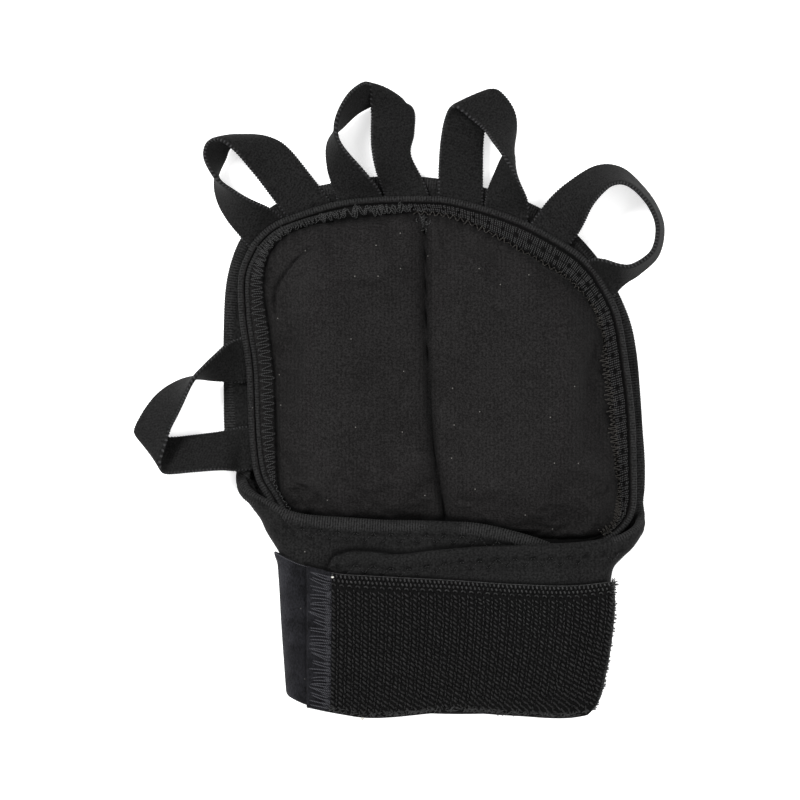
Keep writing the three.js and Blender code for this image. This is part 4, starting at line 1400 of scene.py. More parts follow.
@dataclass
class Pad(Part):
    """Weight pad: bound edge, stitched band, two filled cells and the stitches on them."""

    slot: ClassVar[Slot] = Slot.PAD_COVER
    columns: int = 222
    rows: int = 200
    swelling: Swelling = Swelling()
    base: float = NEOPRENE + CLEARANCE
    lead: float = 2.5
    flange: float = 2.8
    round_side: float = 0.9
    band_drop: float = 0.45
    notch_at: float = 2.05
    notch: float = 0.6
    groove: float = 0.8
    groove_width: float = 2.0
    rise_height: float = 10.4
    slope: float = 20.0
    roundness: float = 2.4
    seam_half_width: float = 17.0
    seam_depth: float = 0.5
    seam_roundness: float = 2.2
    seam_crease: float = 1.9
    seam_shift: float = 0.2
    lip_depth: float = 0.6
    gather_pitch: float = 3.1
    gather_height: float = 0.3
    outer_roll: Roll = Roll(half_width=0.88, half_height=0.95, rib=0.74, depth=0.05)
    inner_roll: Roll = Roll(half_width=0.68, half_height=0.7, rib=0.74, depth=0.03, sides=9)
    outer_inset: float = 0.88
    inner_inset: float = 2.72
    band_from: float = 2.2
    left_from: float = 3.6
    curls_from: float = 0.31
    rungs_from: float = 0.49
    rungs_to: float = 0.985
    wide_chain_from: float = 0.72
    puncture_pitch: float = 4.6
    puncture_depth: float = 0.55
    puncture_width: float = 0.42
    puncture_gap: float = 0.55

    def __post_init__(self) -> None:
        """Work out the outer edge and the cells' edge once, and how far they are apart."""
        self.edge = PAD_EDGE[::2]
        closed = {key: np.append(column, column[0]) for key, column in PAD_CELLS.items()}
        self.cells = outline(closed, np.linspace(0, 1, 241))[:-1]
        open_edge = PAD_EDGE[:3 * (PAD_SIDE_POINTS - 1)]
        self.walk, self.s = even(smooth(open_edge, 6), 0.25)
        self.inward = to_right(unit(np.gradient(self.walk, axis=0)))
        self.reach = smooth(self.distance(self.cells, *self.walk.T)[:, None], 40)[:, 0]
        self.length = float(self.s[-1])

    @staticmethod
    def distance(edge: Array, x: Array, y: Array) -> Array:
        """Least distance from each place to any line piece of a closed edge.

        Args:
            edge: points of the edge.
            x: places across.
            y: places along.

        Returns:
            Distances.
        """
        p = np.stack([x, y], -1).reshape(-1, 2)
        best = np.full(len(p), np.inf)
        for start, run in zip(edge, np.roll(edge, -1, 0) - edge):
            t = np.clip((p - start) @ run / (run @ run), 0, 1)
            best = np.minimum(best, np.linalg.norm(p - start - t[:, None] * run, axis=1))
        return best.reshape(np.shape(x))

    @staticmethod
    def within(edge: Array, x: Array, y: Array) -> Array:
        """Whether each place lies within a closed edge: a line from it to the right crosses
        the edge an odd number of times.

        Args:
            edge: points of the edge.
            x: places across.
            y: places along.

        Returns:
            Truth for each place.
        """
        odd = np.zeros(np.shape(x), bool)
        for (ax, ay), (bx, by) in zip(edge, np.roll(edge, -1, 0)):
            if ay != by:
                odd ^= ((ay > y) != (by > y)) & (x < ax + (bx - ax) * (y - ay) / (by - ay))
        return odd

    def plan(self, a: Array, b: Array) -> Array:
        """Coons patch: the sides blended across, plus the ends blended along, less the corners.

        Args:
            a: share from left to right.
            b: share from bottom to top.

        Returns:
            X and Y.
        """
        wide = a[..., None]
        high = b[..., None]
        sides = between(outline(PAD_LEFT, b), outline(PAD_RIGHT, b), wide)
        ends = between(outline(PAD_BOTTOM, a), outline(PAD_TOP, a), high)
        low, up = (outline(table, np.array([0.0, 1.0])) for table in (PAD_BOTTOM, PAD_TOP))
        corners = between(between(*low, wide), between(*up, wide), high)
        return sides + ends - corners

    def floor(self, y: Array) -> Array:
        """Height of the pad's underside."""
        return self.base + lift(y - self.lead)

    def into_cells(self, x: Array, y: Array) -> Array:
        """Distance into the cells from their edge, and zero outside them."""
        return np.where(self.within(self.cells, x, y), self.distance(self.cells, x, y), 0.0)

    def past_seam(self, x: Array, y: Array) -> Array:
        """Distance to the right of the centre seam."""
        return x - read(PAD_SEAM, "y", "x", y)

    def gathers(self, x: Array, y: Array) -> tuple[Array, Array]:
        """Puckers of the cells' edge: a sine along Y on the sides and along X at the top.

        Args:
            x: places across.
            y: places along.

        Returns:
            The sine, and the share to which the place belongs to the top.
        """
        high = rise(24, 38, y)
        phase = (x * high + y * (1 - high)) / self.gather_pitch
        return np.sin(TAU * phase + 2 * np.sin(x / 6)), high

    @staticmethod
    def lip(x: Array, y: Array, c: Array) -> Array:
        """Curved pucker across the left cell's upper corner: a bell of the distance to a line that
        leaves the cell's edge at its low end, is 7 mm inside it at the corner, and nears it again.

        Args:
            x: places across.
            y: places along.
            c: distances into the cells.

        Returns:
            Depth from 0 to 1.
        """
        q = x + y
        line = 2.2 + 4.9 * rise(-10, 11, q) - 2.4 * rise(13, 31, q)
        clear = rise(-15, -7, q) * rise(36, 27, q) * (1 - 0.5 * rise(9, 18, q))
        return bell(c - line, 0.5) * clear * rise(6, 0, x)

    def top(self, x: Array, y: Array) -> Array:
        """Height of the pad's top: a band that lies lower behind the binding, a groove at the
        cells' edge, then a dome that rises as 1 - (1 - c / slope)^roundness, with a wide valley
        and a narrow crease at the centre seam.

        Args:
            x: places across.
            y: places along.

        Returns:
            Heights over the floor.
        """
        d = self.distance(self.edge, x, y)
        c = self.into_cells(x, y)
        seam = self.past_seam(x, y)
        dome = 1 - (1 - np.minimum(c / self.slope, 1)) ** self.roundness
        beside = 1 - np.minimum(np.abs(seam) / self.seam_half_width, 1)
        valley = 1 - self.seam_depth * beside**self.seam_roundness
        band = -self.band_drop * rise(1.6, 2.4, d) * rise(0.3, 0.0, c)
        band = band - self.notch * bell(d - self.notch_at, 0.25)
        groove = -self.groove * (1 - rise(0, self.groove_width, c)) * (c > 0)
        crease = np.exp(-np.abs((seam + self.seam_shift) / 0.6) ** 1.3)
        crease = -self.seam_crease * crease * rise(0.5, 5, c)
        lip = -self.lip_depth * self.lip(x, y, c)
        wave, high = self.gathers(x, y)
        pucker = self.gather_height * wave * bell(c - 1.5, 1.3) * (0.4 + 0.9 * high)
        return (self.floor(y) + self.flange + band + groove + crease + lip + pucker * (c > 0)
                + self.rise_height * dome * valley)

    def crease(self, x: Array, y: Array, holes: Array) -> Array:
        """Share of painted shade: dark behind the binding, under the band's threads, at the
        cells' edge, along the seam, in the needle holes and against the flap's hem.

        Args:
            x: places across.
            y: places along.
            holes: middles of the needle holes.

        Returns:
            Shares.
        """
        d = self.distance(self.edge, x, y)
        c = self.into_cells(x, y)
        ring = self.distance(self.cells, x, y)
        seam = self.past_seam(x, y)
        share = 0.9 * bell(d - self.notch_at, 0.32)
        share = share + (0.55 - 0.3 * rise(-14, -30, x)) * (c <= 0) * rise(1.8, 2.4, d)
        wave, high = self.gathers(x, y)
        gather = 0.2 + 0.35 * high * (0.5 - 0.5 * wave)
        share = share + 0.7 * bell(ring, 0.6) + gather * bell(ring, 2.2)
        narrow = np.exp(-np.abs((seam + self.seam_shift) / 0.55) ** 1.5)
        share = share + (0.6 * narrow + 0.2 * bell(seam + 0.8, 2.6)) * (c > 0)
        share = share + 0.55 * self.lip(x, y, c)
        share = share + 0.85 * rise(2.6, 0.3, y - read(INNER_FLAP_TOP, "x", "y", x))
        share = share + 0.22 * rise(12, 2, c) * rise(30, 50, x)
        near = np.min(np.hypot(x[:, None] - holes[:, 0], y[:, None] - holes[:, 1]), axis=1)
        return share + 0.9 * bell(near, 0.45)

    def grid(self, columns: int, rows: int) -> Array:
        """Points of the pad's top, (columns, rows, 3), that lie closer along its sides."""
        plan = self.plan(*np.meshgrid(spread(columns, 0.1), spread(rows, 0.1), indexing="ij"))
        return np.concatenate([plan, self.top(plan[..., 0], plan[..., 1])[..., None]], -1)

    def cover(self) -> MeshData:
        """Cover as a fine grid over the plan, swelled between the band and the seam, with a round
        side, slow dents and needle holes.

        Returns:
            The mesh.
        """
        upper = self.grid(self.columns, self.rows)
        x, y = upper[..., 0].copy(), upper[..., 1].copy()
        d = self.distance(self.edge, x, y)
        c = self.into_cells(x, y)
        coarse = self.grid(self.swelling.columns, self.swelling.rows)
        place = coarse[..., 0], coarse[..., 1]
        held = (self.into_cells(*place) < 1.0) | (np.abs(self.past_seam(*place)) < 1.6)
        upper += self.swelling.refined(self.swelling.moves(coarse, held), self.columns, self.rows)
        dents = ripple(x.shape, x, y, 26.0, SEED + 3) * 0.28 + ripple(x.shape, x, y, 9.0, SEED + 4) * 0.07
        upper[..., 2] += dents * rise(0, 6, c)
        holes = self.punctures()
        for hole in holes:
            off = (x - hole[0]) ** 2 + (y - hole[1]) ** 2
            upper[..., 2] -= self.puncture_depth * np.exp(-off / self.puncture_width**2)
        side = 1 - np.sqrt(np.clip(d / self.round_side, 0, 1))
        upper[..., 2] -= (self.flange - 0.5) * side
        body = slab(upper, np.stack([x, y, self.floor(y)], -1))
        # The cover's knit colour darkens with painted shade where these shares say.
        return with_painted_shade(body, self.crease(body.points[:, 0], body.points[:, 1], holes))

    def band(self, at: Array, share: Array, near: float | None = None) -> Array:
        """Places on the band: a share of the way from its outer side to the cells' edge.

        Args:
            at: lengths along the open edge.
            share: 0 at the band's outer side, 1 at the cells' edge.
            near: distance of the outer side from the edge, if not the usual one.

        Returns:
            X and Y.
        """
        start = self.band_from if near is None else near
        place = np.stack([np.interp(at, self.s, self.walk[:, k]) for k in (0, 1)], -1)
        way = np.stack([np.interp(at, self.s, self.inward[:, k]) for k in (0, 1)], -1)
        depth = start + (np.interp(at, self.s, self.reach) - start) * share
        return place + way * depth[..., None]

    def punctures(self) -> Array:
        """Middles of the needle holes in the middle of the band on the right."""
        at = np.arange(self.rungs_from * self.length, 0.97 * self.length, self.puncture_pitch)
        return self.band(at, np.full(at.shape, 0.46))

    def rolls(self) -> MeshData:
        """Outer binding all round the open edge, and a thinner one behind it on the left.

        Returns:
            The mesh.
        """
        made = []
        for roll, inset, start, end in ((self.outer_roll, self.outer_inset, 0.0, 1.0),
                                        (self.inner_roll, self.inner_inset, 0.02, 0.42)):
            keep = (self.s >= start * self.length) & (self.s <= end * self.length)
            path = (self.walk + self.inward * inset)[keep]
            z = self.floor(path[:, 1]) + self.flange - 0.12 - roll.half_height * 0.75
            share = self.s[keep] / self.length
            size = 1 - 0.6 * rise(end - 0.06, end, share) * (end < 1)
            inward = np.column_stack([self.inward[keep], np.zeros(keep.sum())])
            made.append(roll.mesh(np.column_stack([path, z]), inward, size))
        return joined(made)

    def laid(self, plan: Array, proud: float) -> Array:
        """Lay plane paths on the pad's top, their ends sunk in and their middles a little proud."""
        z = self.top(plan[..., 0], plan[..., 1])
        t = np.linspace(0, 1, plan.shape[1])[None]
        z = z + proud + 0.3 * (np.sin(math.pi * t) - 0.6)
        return np.concatenate([plan, z[..., None]], -1)

    def turns(self, row: Row) -> float:
        """How often a row's pitch goes into its length."""
        return (row.end - row.start) * self.length / row.pitch

    def curls(self, row: Row, near: float, wander: float) -> Array:
        """Threads that cross the band to and fro, each bent as an S by a sine of its length.

        Args:
            row: the row, with two crossings a turn.
            near: distance of the outer turns from the edge.
            wander: how far the turns stray.

        Returns:
            Paths, one for each crossing.
        """
        rng = np.random.default_rng(row.seed)
        count = int(self.turns(row) * 2)
        number = np.arange(count + 1)
        at = row.start * self.length + number * row.pitch / 2 + rng.normal(0, 0.2 * wander, count + 1)
        share = np.where(number % 2, 0.93, 0.04) + rng.normal(0, 0.05 * wander, count + 1)
        t = np.linspace(0.0, 1.0, 9)[None]
        bend = rng.uniform(0, 0.16 * wander, (count, 1)) * np.sin(TAU * t)
        ahead = between(at[:-1, None], at[1:, None], t) + bend
        return self.laid(self.band(ahead, between(share[:-1, None], share[1:, None], t), near), 0.12)

    def rungs(self, row: Row) -> Array:
        """Close threads straight across the band, slightly aslant, cut short at the needle holes.

        Args:
            row: the row, with one thread a turn.

        Returns:
            Paths: the outer and the inner half of each thread.
        """
        rng = np.random.default_rng(row.seed)
        count = int(self.turns(row))
        at = row.start * self.length + np.arange(count) * row.pitch + rng.normal(0, 0.06, count)
        slant = 0.45 + rng.normal(0, 0.12, count)
        ends = np.stack([rng.normal(0.04, 0.03, count), rng.normal(0.9, 0.05, count)])
        phase = (at - self.rungs_from * self.length) / self.puncture_pitch
        hole = np.abs((phase + 0.5) % 1 - 0.5) * self.puncture_pitch < self.puncture_gap
        halves = []
        for side, (first, last) in enumerate(((ends[0], np.where(hole, 0.36, 0.5)),
                                              (np.where(hole, 0.56, 0.46), ends[1]))):
            over = between(first[:, None], last[:, None], np.linspace(0, 1, 6)[None])
            ahead = at[:, None] + slant[:, None] * (2 * over - 1)
            halves.append(self.laid(self.band(ahead, over), 0.02 + 0.02 * side))
        return np.concatenate(halves)

    def chain(self, row: Row, swing: float) -> Array:
        """Wavy row along the cells' edge: half waves of a sine, one thread each.

        Args:
            row: the row, with two half waves a turn.
            swing: half of the wave's height in millimetres.

        Returns:
            Paths.
        """
        rng = np.random.default_rng(row.seed)
        count = int(self.turns(row) * 2)
        phase = np.arange(count)[:, None] + np.linspace(0.03, 0.97, 8)[None]
        at = row.start * self.length + phase * row.pitch / 2
        height = swing * (1 + rng.normal(0, 0.35, (count, 1))) * np.cos(math.pi * phase)
        reach = np.interp(at, self.s, self.reach) - self.band_from
        return self.laid(self.band(at, 1 + (height + 0.2) / reach), 0.2)

    def knots(self) -> Array:
        """Tangle of short threads where the centre seam meets the band at its top.

        Returns:
            Paths.
        """
        rng = np.random.default_rng(SEED + 9)
        count = 16
        x = 7.0 + rng.normal(0, 0.9, (count, 1))
        y = 50.2 + rng.normal(0, 1.1, (count, 1))
        angle = rng.uniform(0, math.pi, (count, 1))
        t = np.linspace(-1, 1, 8)[None]
        reach = rng.uniform(0.6, 1.3, (count, 1))
        bow = rng.normal(0, 0.6, (count, 1)) * (1 - t**2)
        plan = np.stack([x + reach * t * np.cos(angle) - bow * np.sin(angle),
                         y + reach * t * np.sin(angle) + bow * np.cos(angle)], -1)
        return self.laid(plan, 0.22)

    def build(self) -> list[Piece]:
        """Make the pad, its binding and its stitches.

        Returns:
            The pieces.
        """
        cover = self.piece("pad_cover", self.cover(), "cover")
        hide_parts("weight_pad")
        binding = self.piece("pad_binding", self.rolls(), "binding")
        start, middle, end = self.rungs_from, self.wide_chain_from, self.rungs_to
        left = self.curls(Row(0.02, self.curls_from, 1.75, SEED + 5), self.left_from, 1.0)
        top = np.concatenate([
            self.curls(Row(self.curls_from - 0.02, start, 1.5, SEED + 6), self.band_from, 2.2),
            self.curls(Row(self.curls_from, start, 2.1, SEED + 19), self.band_from, 3.0)])
        rungs = self.rungs(Row(start, end, 0.66, SEED + 7))
        band = joined([threads(left, 0.18), threads(top, 0.2), threads(rungs, 0.17),
                       threads(self.knots(), 0.2)])
        rows = self.piece("band_stitches", band, "thread")
        chain = [threads(self.chain(Row(start, middle, 2.3, SEED + 8), 0.55), 0.17),
                 threads(self.chain(Row(middle, end, 1.25, SEED + 17), 0.95), 0.19)]
        wear_and_shade = self.piece("band_edge_stitches", joined(chain), "worn_thread")
        return [cover, binding, rows, wear_and_shade]


@dataclass
class ElasticLoop(Part):
    """Elastic loop: a flat tape carried along its sections."""

    slot: ClassVar[Slot] = Slot.ELASTIC
    name: str
    rows: Columns
    width: float = 12.7
    thickness: float = 1.1
    tooth: float = 0.75
    tooth_depth: float = 0.17
    cord: float = 1.3
    cord_height: float = 0.03
    half_selvage: float = 0.16
    samples: int = 900
    across: int = 27
    crowding: float = 0.985

    def centre(self, t: Array) -> Array:
        """Middle of the tape: the rows' places, raised by half the width times the lean's sine.

        Args:
            t: places from 0 to 1.

        Returns:
            Points.
        """
        place = catmull(np.stack([self.rows["x"], self.rows["y"], self.rows["foot"]], 1), t, 1)
        lean = np.radians(self.angles(t)[:, 1])
        place[:, 2] += self.width / 2 * np.abs(np.sin(lean))
        return place

    def angles(self, t: Array) -> Array:
        """Turn and lean in degrees, and the bulge, at each place."""
        return catmull(np.stack([self.rows[key] for key in ("turn", "lean", "bulge")], 1), t, 1)

    def mesh(self) -> MeshData:
        """Rings of a flat, round-edged section that bows out by bulge * (1 - a^2): cords stand
        up as a cosine across the tape, and its selvages step in and out as saw teeth along it.

        Returns:
            The mesh, with U along and V across the tape.
        """
        fine = np.linspace(0, 1, self.samples)
        run = lengths(self.centre(fine))
        s = np.linspace(0, run[-1], int(run[-1] / (self.tooth / 4)))
        t = np.interp(s, run, fine)
        middle = self.centre(t)
        turn, lean, bulge = self.angles(t).T
        turn, lean = np.radians(turn), np.radians(lean)
        width = np.stack([np.cos(lean) * np.cos(turn), np.cos(lean) * np.sin(turn), np.sin(lean)], 1)
        normal = unit(np.cross(unit(np.gradient(middle, axis=0)), width))
        quarter = math.pi / 2
        a = np.sin(np.linspace(-quarter, quarter, self.across) * self.crowding)
        a = a / math.sin(quarter * self.crowding)
        half = self.width / 2
        h = self.thickness / 2 * (1 - np.abs(a) ** 10) ** 0.5 + self.half_selvage
        h = h * (1 - 0.7 * rise(0.94, 1.0, np.abs(a)))
        h = h + self.cord_height * np.cos(TAU * a * half / self.cord)
        ring_a = np.concatenate([a, a[::-1]])
        ring_h = np.concatenate([h, -h[::-1]])
        edge = rise(0.86, 1.0, np.abs(ring_a))
        phase = s / self.tooth + 0.3 * np.sin(s / 5.3)
        teeth = self.tooth_depth * (2 * zigzag(phase))
        wide = ring_a[None] * half + np.sign(ring_a) * edge[None] * teeth[:, None]
        out = ring_h[None] + bulge[:, None] * (1 - ring_a[None] ** 2)
        rings = middle[:, None] + width[:, None] * wide[..., None] + normal[:, None] * out[..., None]
        uv = np.stack(np.broadcast_arrays(s[:, None], ring_a[None] * half), -1)
        return carried(rings, uv)

    def length(self) -> float:
        """Length of the tape's middle line in millimetres."""
        steps = np.diff(self.centre(np.linspace(0, 1, self.samples)), axis=0)
        return float(np.linalg.norm(steps, axis=1).sum())

    def build(self) -> Piece:
        """Make the loop.

        Returns:
            The piece.
        """
        piece = self.piece(f"{self.name}_elastic", self.mesh(), "elastic")
        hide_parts(self.name)
        return piece


@dataclass
class Strap(Part):
    """Plush strap: under the wrist, round the left fold and a short way onto the front."""

    slot: ClassVar[Slot] = Slot.PLUSH
    wrist: Wrist
    columns: Sequence[int] = (60, 24, 24, 12)
    rows: int = 60
    height: float = 38.0
    stage_length: float = 30.0
    round_edge: float = 0.9
    fuzz: float = 0.09
    fuzz_size: float = 1.3
    edge_thread: float = 0.13

    def place(self, u: Array, v: Array) -> Array:
        """Mid surface: straight under the wrist, a half circle, and straight on the front.

        Args:
            u: stage from 0 to 4.
            v: share from the lower edge to the upper one.

        Returns:
            Points.
        """
        stage, share = staged(u, len(self.columns))
        top = read(STRAP_RUN, "stage", "top", u)
        bottom = read(STRAP_RUN, "stage", "bottom", u)
        y = bottom + (top - bottom) * v
        fold_x = self.wrist.fold(LEFT_FOLD, -1, y)[0]
        back = STRAP_LIFT + NEOPRENE / 2
        middle = (back + INNER_FLAP_Z) / 2
        radius = (INNER_FLAP_Z - back) / 2 + STRAP_LIFT - PLUSH_TAPE / 2 + NEOPRENE / 2
        angle = math.pi / 2 * np.clip(u - 1, 0, 2)
        rear = STRAP_REAR_END + (fold_x - STRAP_REAR_END) * share
        turn = fold_x - (radius + STRAP_WRAP_ROOM * np.sin(angle)) * np.sin(angle)
        front = fold_x + (STRAP_FRONT_END - fold_x) * share
        x = np.choose(stage, [rear, turn, turn, front])
        return np.stack([x, y, middle - radius * np.cos(angle)], -1)

    def build(self) -> list[Piece]:
        """Make the strap and the thin cord along its upper edge.

        Returns:
            The pieces.
        """
        grid_u, grid_v = np.meshgrid(stations(self.columns), np.linspace(0, 1, self.rows), indexing="ij")
        mid = self.place(grid_u, grid_v)
        normal = facing(mid)
        rim = np.minimum(grid_v, 1 - grid_v) * self.height
        half = PLUSH_TAPE / 2 * np.sqrt(np.clip(rim / self.round_edge, 0.12, 1))
        pile = ripple(rim.shape, grid_u * self.stage_length, grid_v * self.height, self.fuzz_size, SEED + 9)
        outer = mid - normal * (half + self.fuzz * pile)[..., None]
        body = slab(outer, mid + normal * half[..., None])
        x, y = body.points[:, 0], body.points[:, 1]
        # Painted shade: the pile darkens by half towards the shade colour from x = -33.5 to -29.5 mm on,
        # along a wavy line.
        wear_and_shade = 0.5 * rise(-33.5, -29.5, x + 0.8 * np.sin(y / 3.1) + 0.5 * np.sin(y / 1.3))
        piece = self.piece("strap_plush", with_painted_shade(body, wear_and_shade), "plush")
        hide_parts("wrist_strap")
        path = self.place(np.linspace(2.0, 3.9, 90), np.full(90, 0.995))
        path[:, 2] += PLUSH_TAPE / 2
        cord = threads(path[None], self.edge_thread)
        return [piece, self.piece("strap_edge_thread", cord, "join_thread")]


@dataclass
class HookPanel(Part):
    """Hook tape across the front: its ground, its rows of hooks, its selvedge and its seam."""

    slot: ClassVar[Slot] = Slot.HOOK_TAPE
    ground: float = 1.0
    columns: int = 150
    rows: int = 60
    height: float = 37.6
    length: float = 86.0
    round_edge: float = 0.8
    right_end: float = 60.4
    hook_pitch: float = 1.14
    hook_step: float = 1.235
    hook_from: float = -19.2
    hook_radius: float = 0.24
    hook_height: float = 0.55
    thin_share: float = 0.8
    selvedge_from: float = -19.0
    selvedge_pitch: float = 1.2
    seam_from: float = -26.0
    seam_to: float = -19.4

    def place(self, p: Array, v: Array) -> Array:
        """Mid surface of the tape: between its edges, stepping up from the strap to the flap
        and down again towards the right fold.

        Args:
            p: share from left to right.
            v: share from the lower edge to the upper one.

        Returns:
            Points.
        """
        on_flap = OUTER_FLAP_Z + (NEOPRENE + HOOK_TAPE) / 2 + CLEARANCE
        on_strap = INNER_FLAP_Z + NEOPRENE / 2 + PLUSH_TAPE + 2 * CLEARANCE + HOOK_TAPE / 2
        at_fold = on_flap - (OUTER_FLAP_Z - INNER_FLAP_Z)
        y = np.full(np.broadcast(p, v).shape, TAPE_MIDDLE_GUESS)
        x = y
        for _ in range(12):
            x = HOOK_START + (read(HOOK_END, "y", "x", y) - HOOK_START) * p
            bottom = read(HOOK_RUN, "x", "bottom", x)
            y = bottom + (read(HOOK_RUN, "x", "top", x) - bottom) * v
        left = on_strap + (on_flap - on_strap) * rise(*HOOK_STEP, x)
        right = at_fold + (on_flap - at_fold) * rise(OUTER_RISE_FROM, OUTER_RISE_TO, x - HOOK_LEAD)
        return np.stack([x, y, np.minimum(left, right)], -1)

    def share(self, x: Array | float) -> Array:
        """Share from left to right of a place at X."""
        return (np.asarray(x, float) - HOOK_START) / (self.right_end - HOOK_START)

    def laid(self, p: Array, v: Array, x: Array, y: Array, z: Array | float) -> Array:
        """Paths that leave places p, v of the ground's face by so much in X, Y and Z."""
        start = self.place(p, v) + np.array([0, 0, self.ground - HOOK_TAPE / 2])
        return start[:, None] + np.stack(np.broadcast_arrays(x, y, z), -1)

    def sheet(self, start: float, end: float) -> MeshData:
        """Stretch of the tape's ground: the lower part of its thickness, with soft edges.

        Args:
            start: share from left to right where it starts.
            end: share where it ends.

        Returns:
            The mesh.
        """
        count = max(int(self.columns * (end - start)), 14)
        p, v = np.meshgrid(np.linspace(start, end, count), np.linspace(0, 1, self.rows), indexing="ij")
        upper = self.place(p, v)
        upper[..., 2] -= HOOK_TAPE / 2
        lower = upper.copy()
        rim = np.minimum(np.minimum(v, 1 - v) * self.height, np.minimum(p, 1 - p) * self.length)
        soft = np.sqrt(np.clip(rim / self.round_edge, 0.1, 1))
        fuzz = 0.05 * ripple(p.shape, upper[..., 0], upper[..., 1], 1.4, SEED + 18)
        upper[..., 2] += self.ground * (0.5 + 0.5 * soft) + fuzz
        lower[..., 2] += self.ground * 0.25 * (1 - soft)
        return slab(upper, lower)

    def strokes(self, p: Array, v: Array, across: Array, along: Array, seed: int, height: float,
                steps: int = 6) -> Array:
        """Short arched strokes on the tape: each runs straight in plan and bows up as a root of
        a cosine.

        Args:
            p: middles of the strokes, as a share from left to right.
            v: middles, as a share from bottom to top.
            across: half of each stroke's reach in X.
            along: half of each stroke's reach in Y.
            seed: number that fixes the small errors.
            height: height of the bow's crown.
            steps: points along a stroke.

        Returns:
            Paths.
        """
        rng = np.random.default_rng(seed)
        t = np.linspace(-1, 1, steps)[None]
        x = (across + rng.normal(0, 0.07, across.shape))[:, None] * t
        y = (along + rng.normal(0, 0.07, across.shape))[:, None] * t
        bow = (height + rng.normal(0, 0.06, across.shape))[:, None] * np.cos(t * math.pi / 2) ** 0.5
        return self.laid(p, v, x, y, bow - 0.08)

    def hook_field(self) -> MeshData:
        """Hooks in upright rows: broad strokes that lean down to the right like twisted cord, under
        a half round hook, and between two such rows a thin chain of steep ones, half a step lower.

        Returns:
            The mesh.
        """
        count = int((self.right_end - 0.1 - self.hook_from) / self.hook_pitch)
        per_row = int((self.height - 4.6) / self.hook_step)
        i, j = np.meshgrid(np.arange(count), np.arange(per_row), indexing="ij")
        rng = np.random.default_rng(SEED + 10)
        bend = 0.5 * rise(46, 60, self.hook_from + i * self.hook_pitch) * (j * self.hook_step / 16 - 1)
        x = self.hook_from + (i + 0.5) * self.hook_pitch + bend + rng.normal(0, 0.08, i.shape)
        v = (1.7 + (j + 0.5 * (i % 2)) * self.hook_step + rng.normal(0, 0.1, i.shape)) / self.height
        broad = (i % 2 == 0).ravel()
        p = np.minimum(self.share(x), 0.994).ravel()
        strokes = self.strokes(p, v.ravel(), np.where(broad, 0.48, 0.13), np.where(broad, -0.46, -0.4),
                               SEED + 11, self.hook_height, 5)
        p = self.share(self.hook_from + np.arange(0.5, count, 2) * self.hook_pitch)
        t = np.linspace(0, 1, 6)[None]
        tops = self.laid(p, np.full(p.shape, 1 - 3.3 / self.height), -0.6 * np.cos(math.pi * t * 0.85),
                         0.5 * np.sin(math.pi * t) - 0.2 * t, 0.35)
        radius = np.where(broad, self.hook_radius, self.thin_share * self.hook_radius)
        return joined([threads(strokes, radius, 4), threads(tops, self.hook_radius, 5)])

    def selvedge(self) -> MeshData:
        """Two rows of short upright stitches along the upper edge, and a thin cord over them.

        Returns:
            The mesh.
        """
        rows = []
        for row, (depth, length) in enumerate(((0.75, 0.42), (1.95, 0.34))):
            x = np.arange(self.selvedge_from + 0.5 * row, self.right_end - 0.9, self.selvedge_pitch)
            one = np.ones(x.shape)
            v = one * (1 - depth / self.height)
            rows.append(self.strokes(self.share(x), v, -0.14 * one, length * one, SEED + 12 + row, 0.42))
        p = np.linspace(self.share(self.seam_to), 0.995, 160)
        cord = self.place(p, np.full(p.shape, 1 - 0.12 / self.height))
        cord[:, 2] += self.ground * 0.75 - HOOK_TAPE / 2
        return joined([threads(np.concatenate(rows), 0.27), threads(cord[None], 0.15)])

    def fuzz(self) -> MeshData:
        """Short worn loops: a thick row along the lower edge, level arcs past the right end, and
        a tuft of loose threads at the upper right corner.

        Returns:
            The mesh.
        """
        rng = np.random.default_rng(SEED + 14)
        t = np.linspace(-1, 1, 6)[None]
        count = 330
        p = rng.uniform(self.share(self.seam_to), 0.985, count)
        v = rng.uniform(0.3, 1.5, count) / self.height
        angle = rng.normal(0.4, 0.7, (count, 1))
        low = self.laid(p, v, 0.55 * t * np.cos(angle), 0.55 * t * np.sin(angle), 0.35 * (1 - t**2) - 0.1)
        count = 54
        v = np.linspace(0.03, 0.985, count) + rng.normal(0, 0.003, count)
        out = rng.uniform(0.3, 1.1, (count, 1)) + 0.7
        arcs = self.laid(np.full(count, 0.996), v, out * np.cos(t * math.pi / 2) - 0.7, 0.33 * t,
                         0.2 * (1 - t**2) - 0.15)
        count = 16
        v = rng.uniform(0.94, 0.995, count)
        angle = rng.uniform(-0.3, 1.5, (count, 1))
        far = rng.uniform(0.9, 2.3, (count, 1)) * (t + 1) / 2
        tuft = self.laid(np.full(count, 0.992), v, far * np.cos(angle), far * np.sin(angle), -0.3)
        return joined([threads(low, 0.13, 5), threads(arcs, 0.14, 5), threads(tuft, 0.15, 5)])

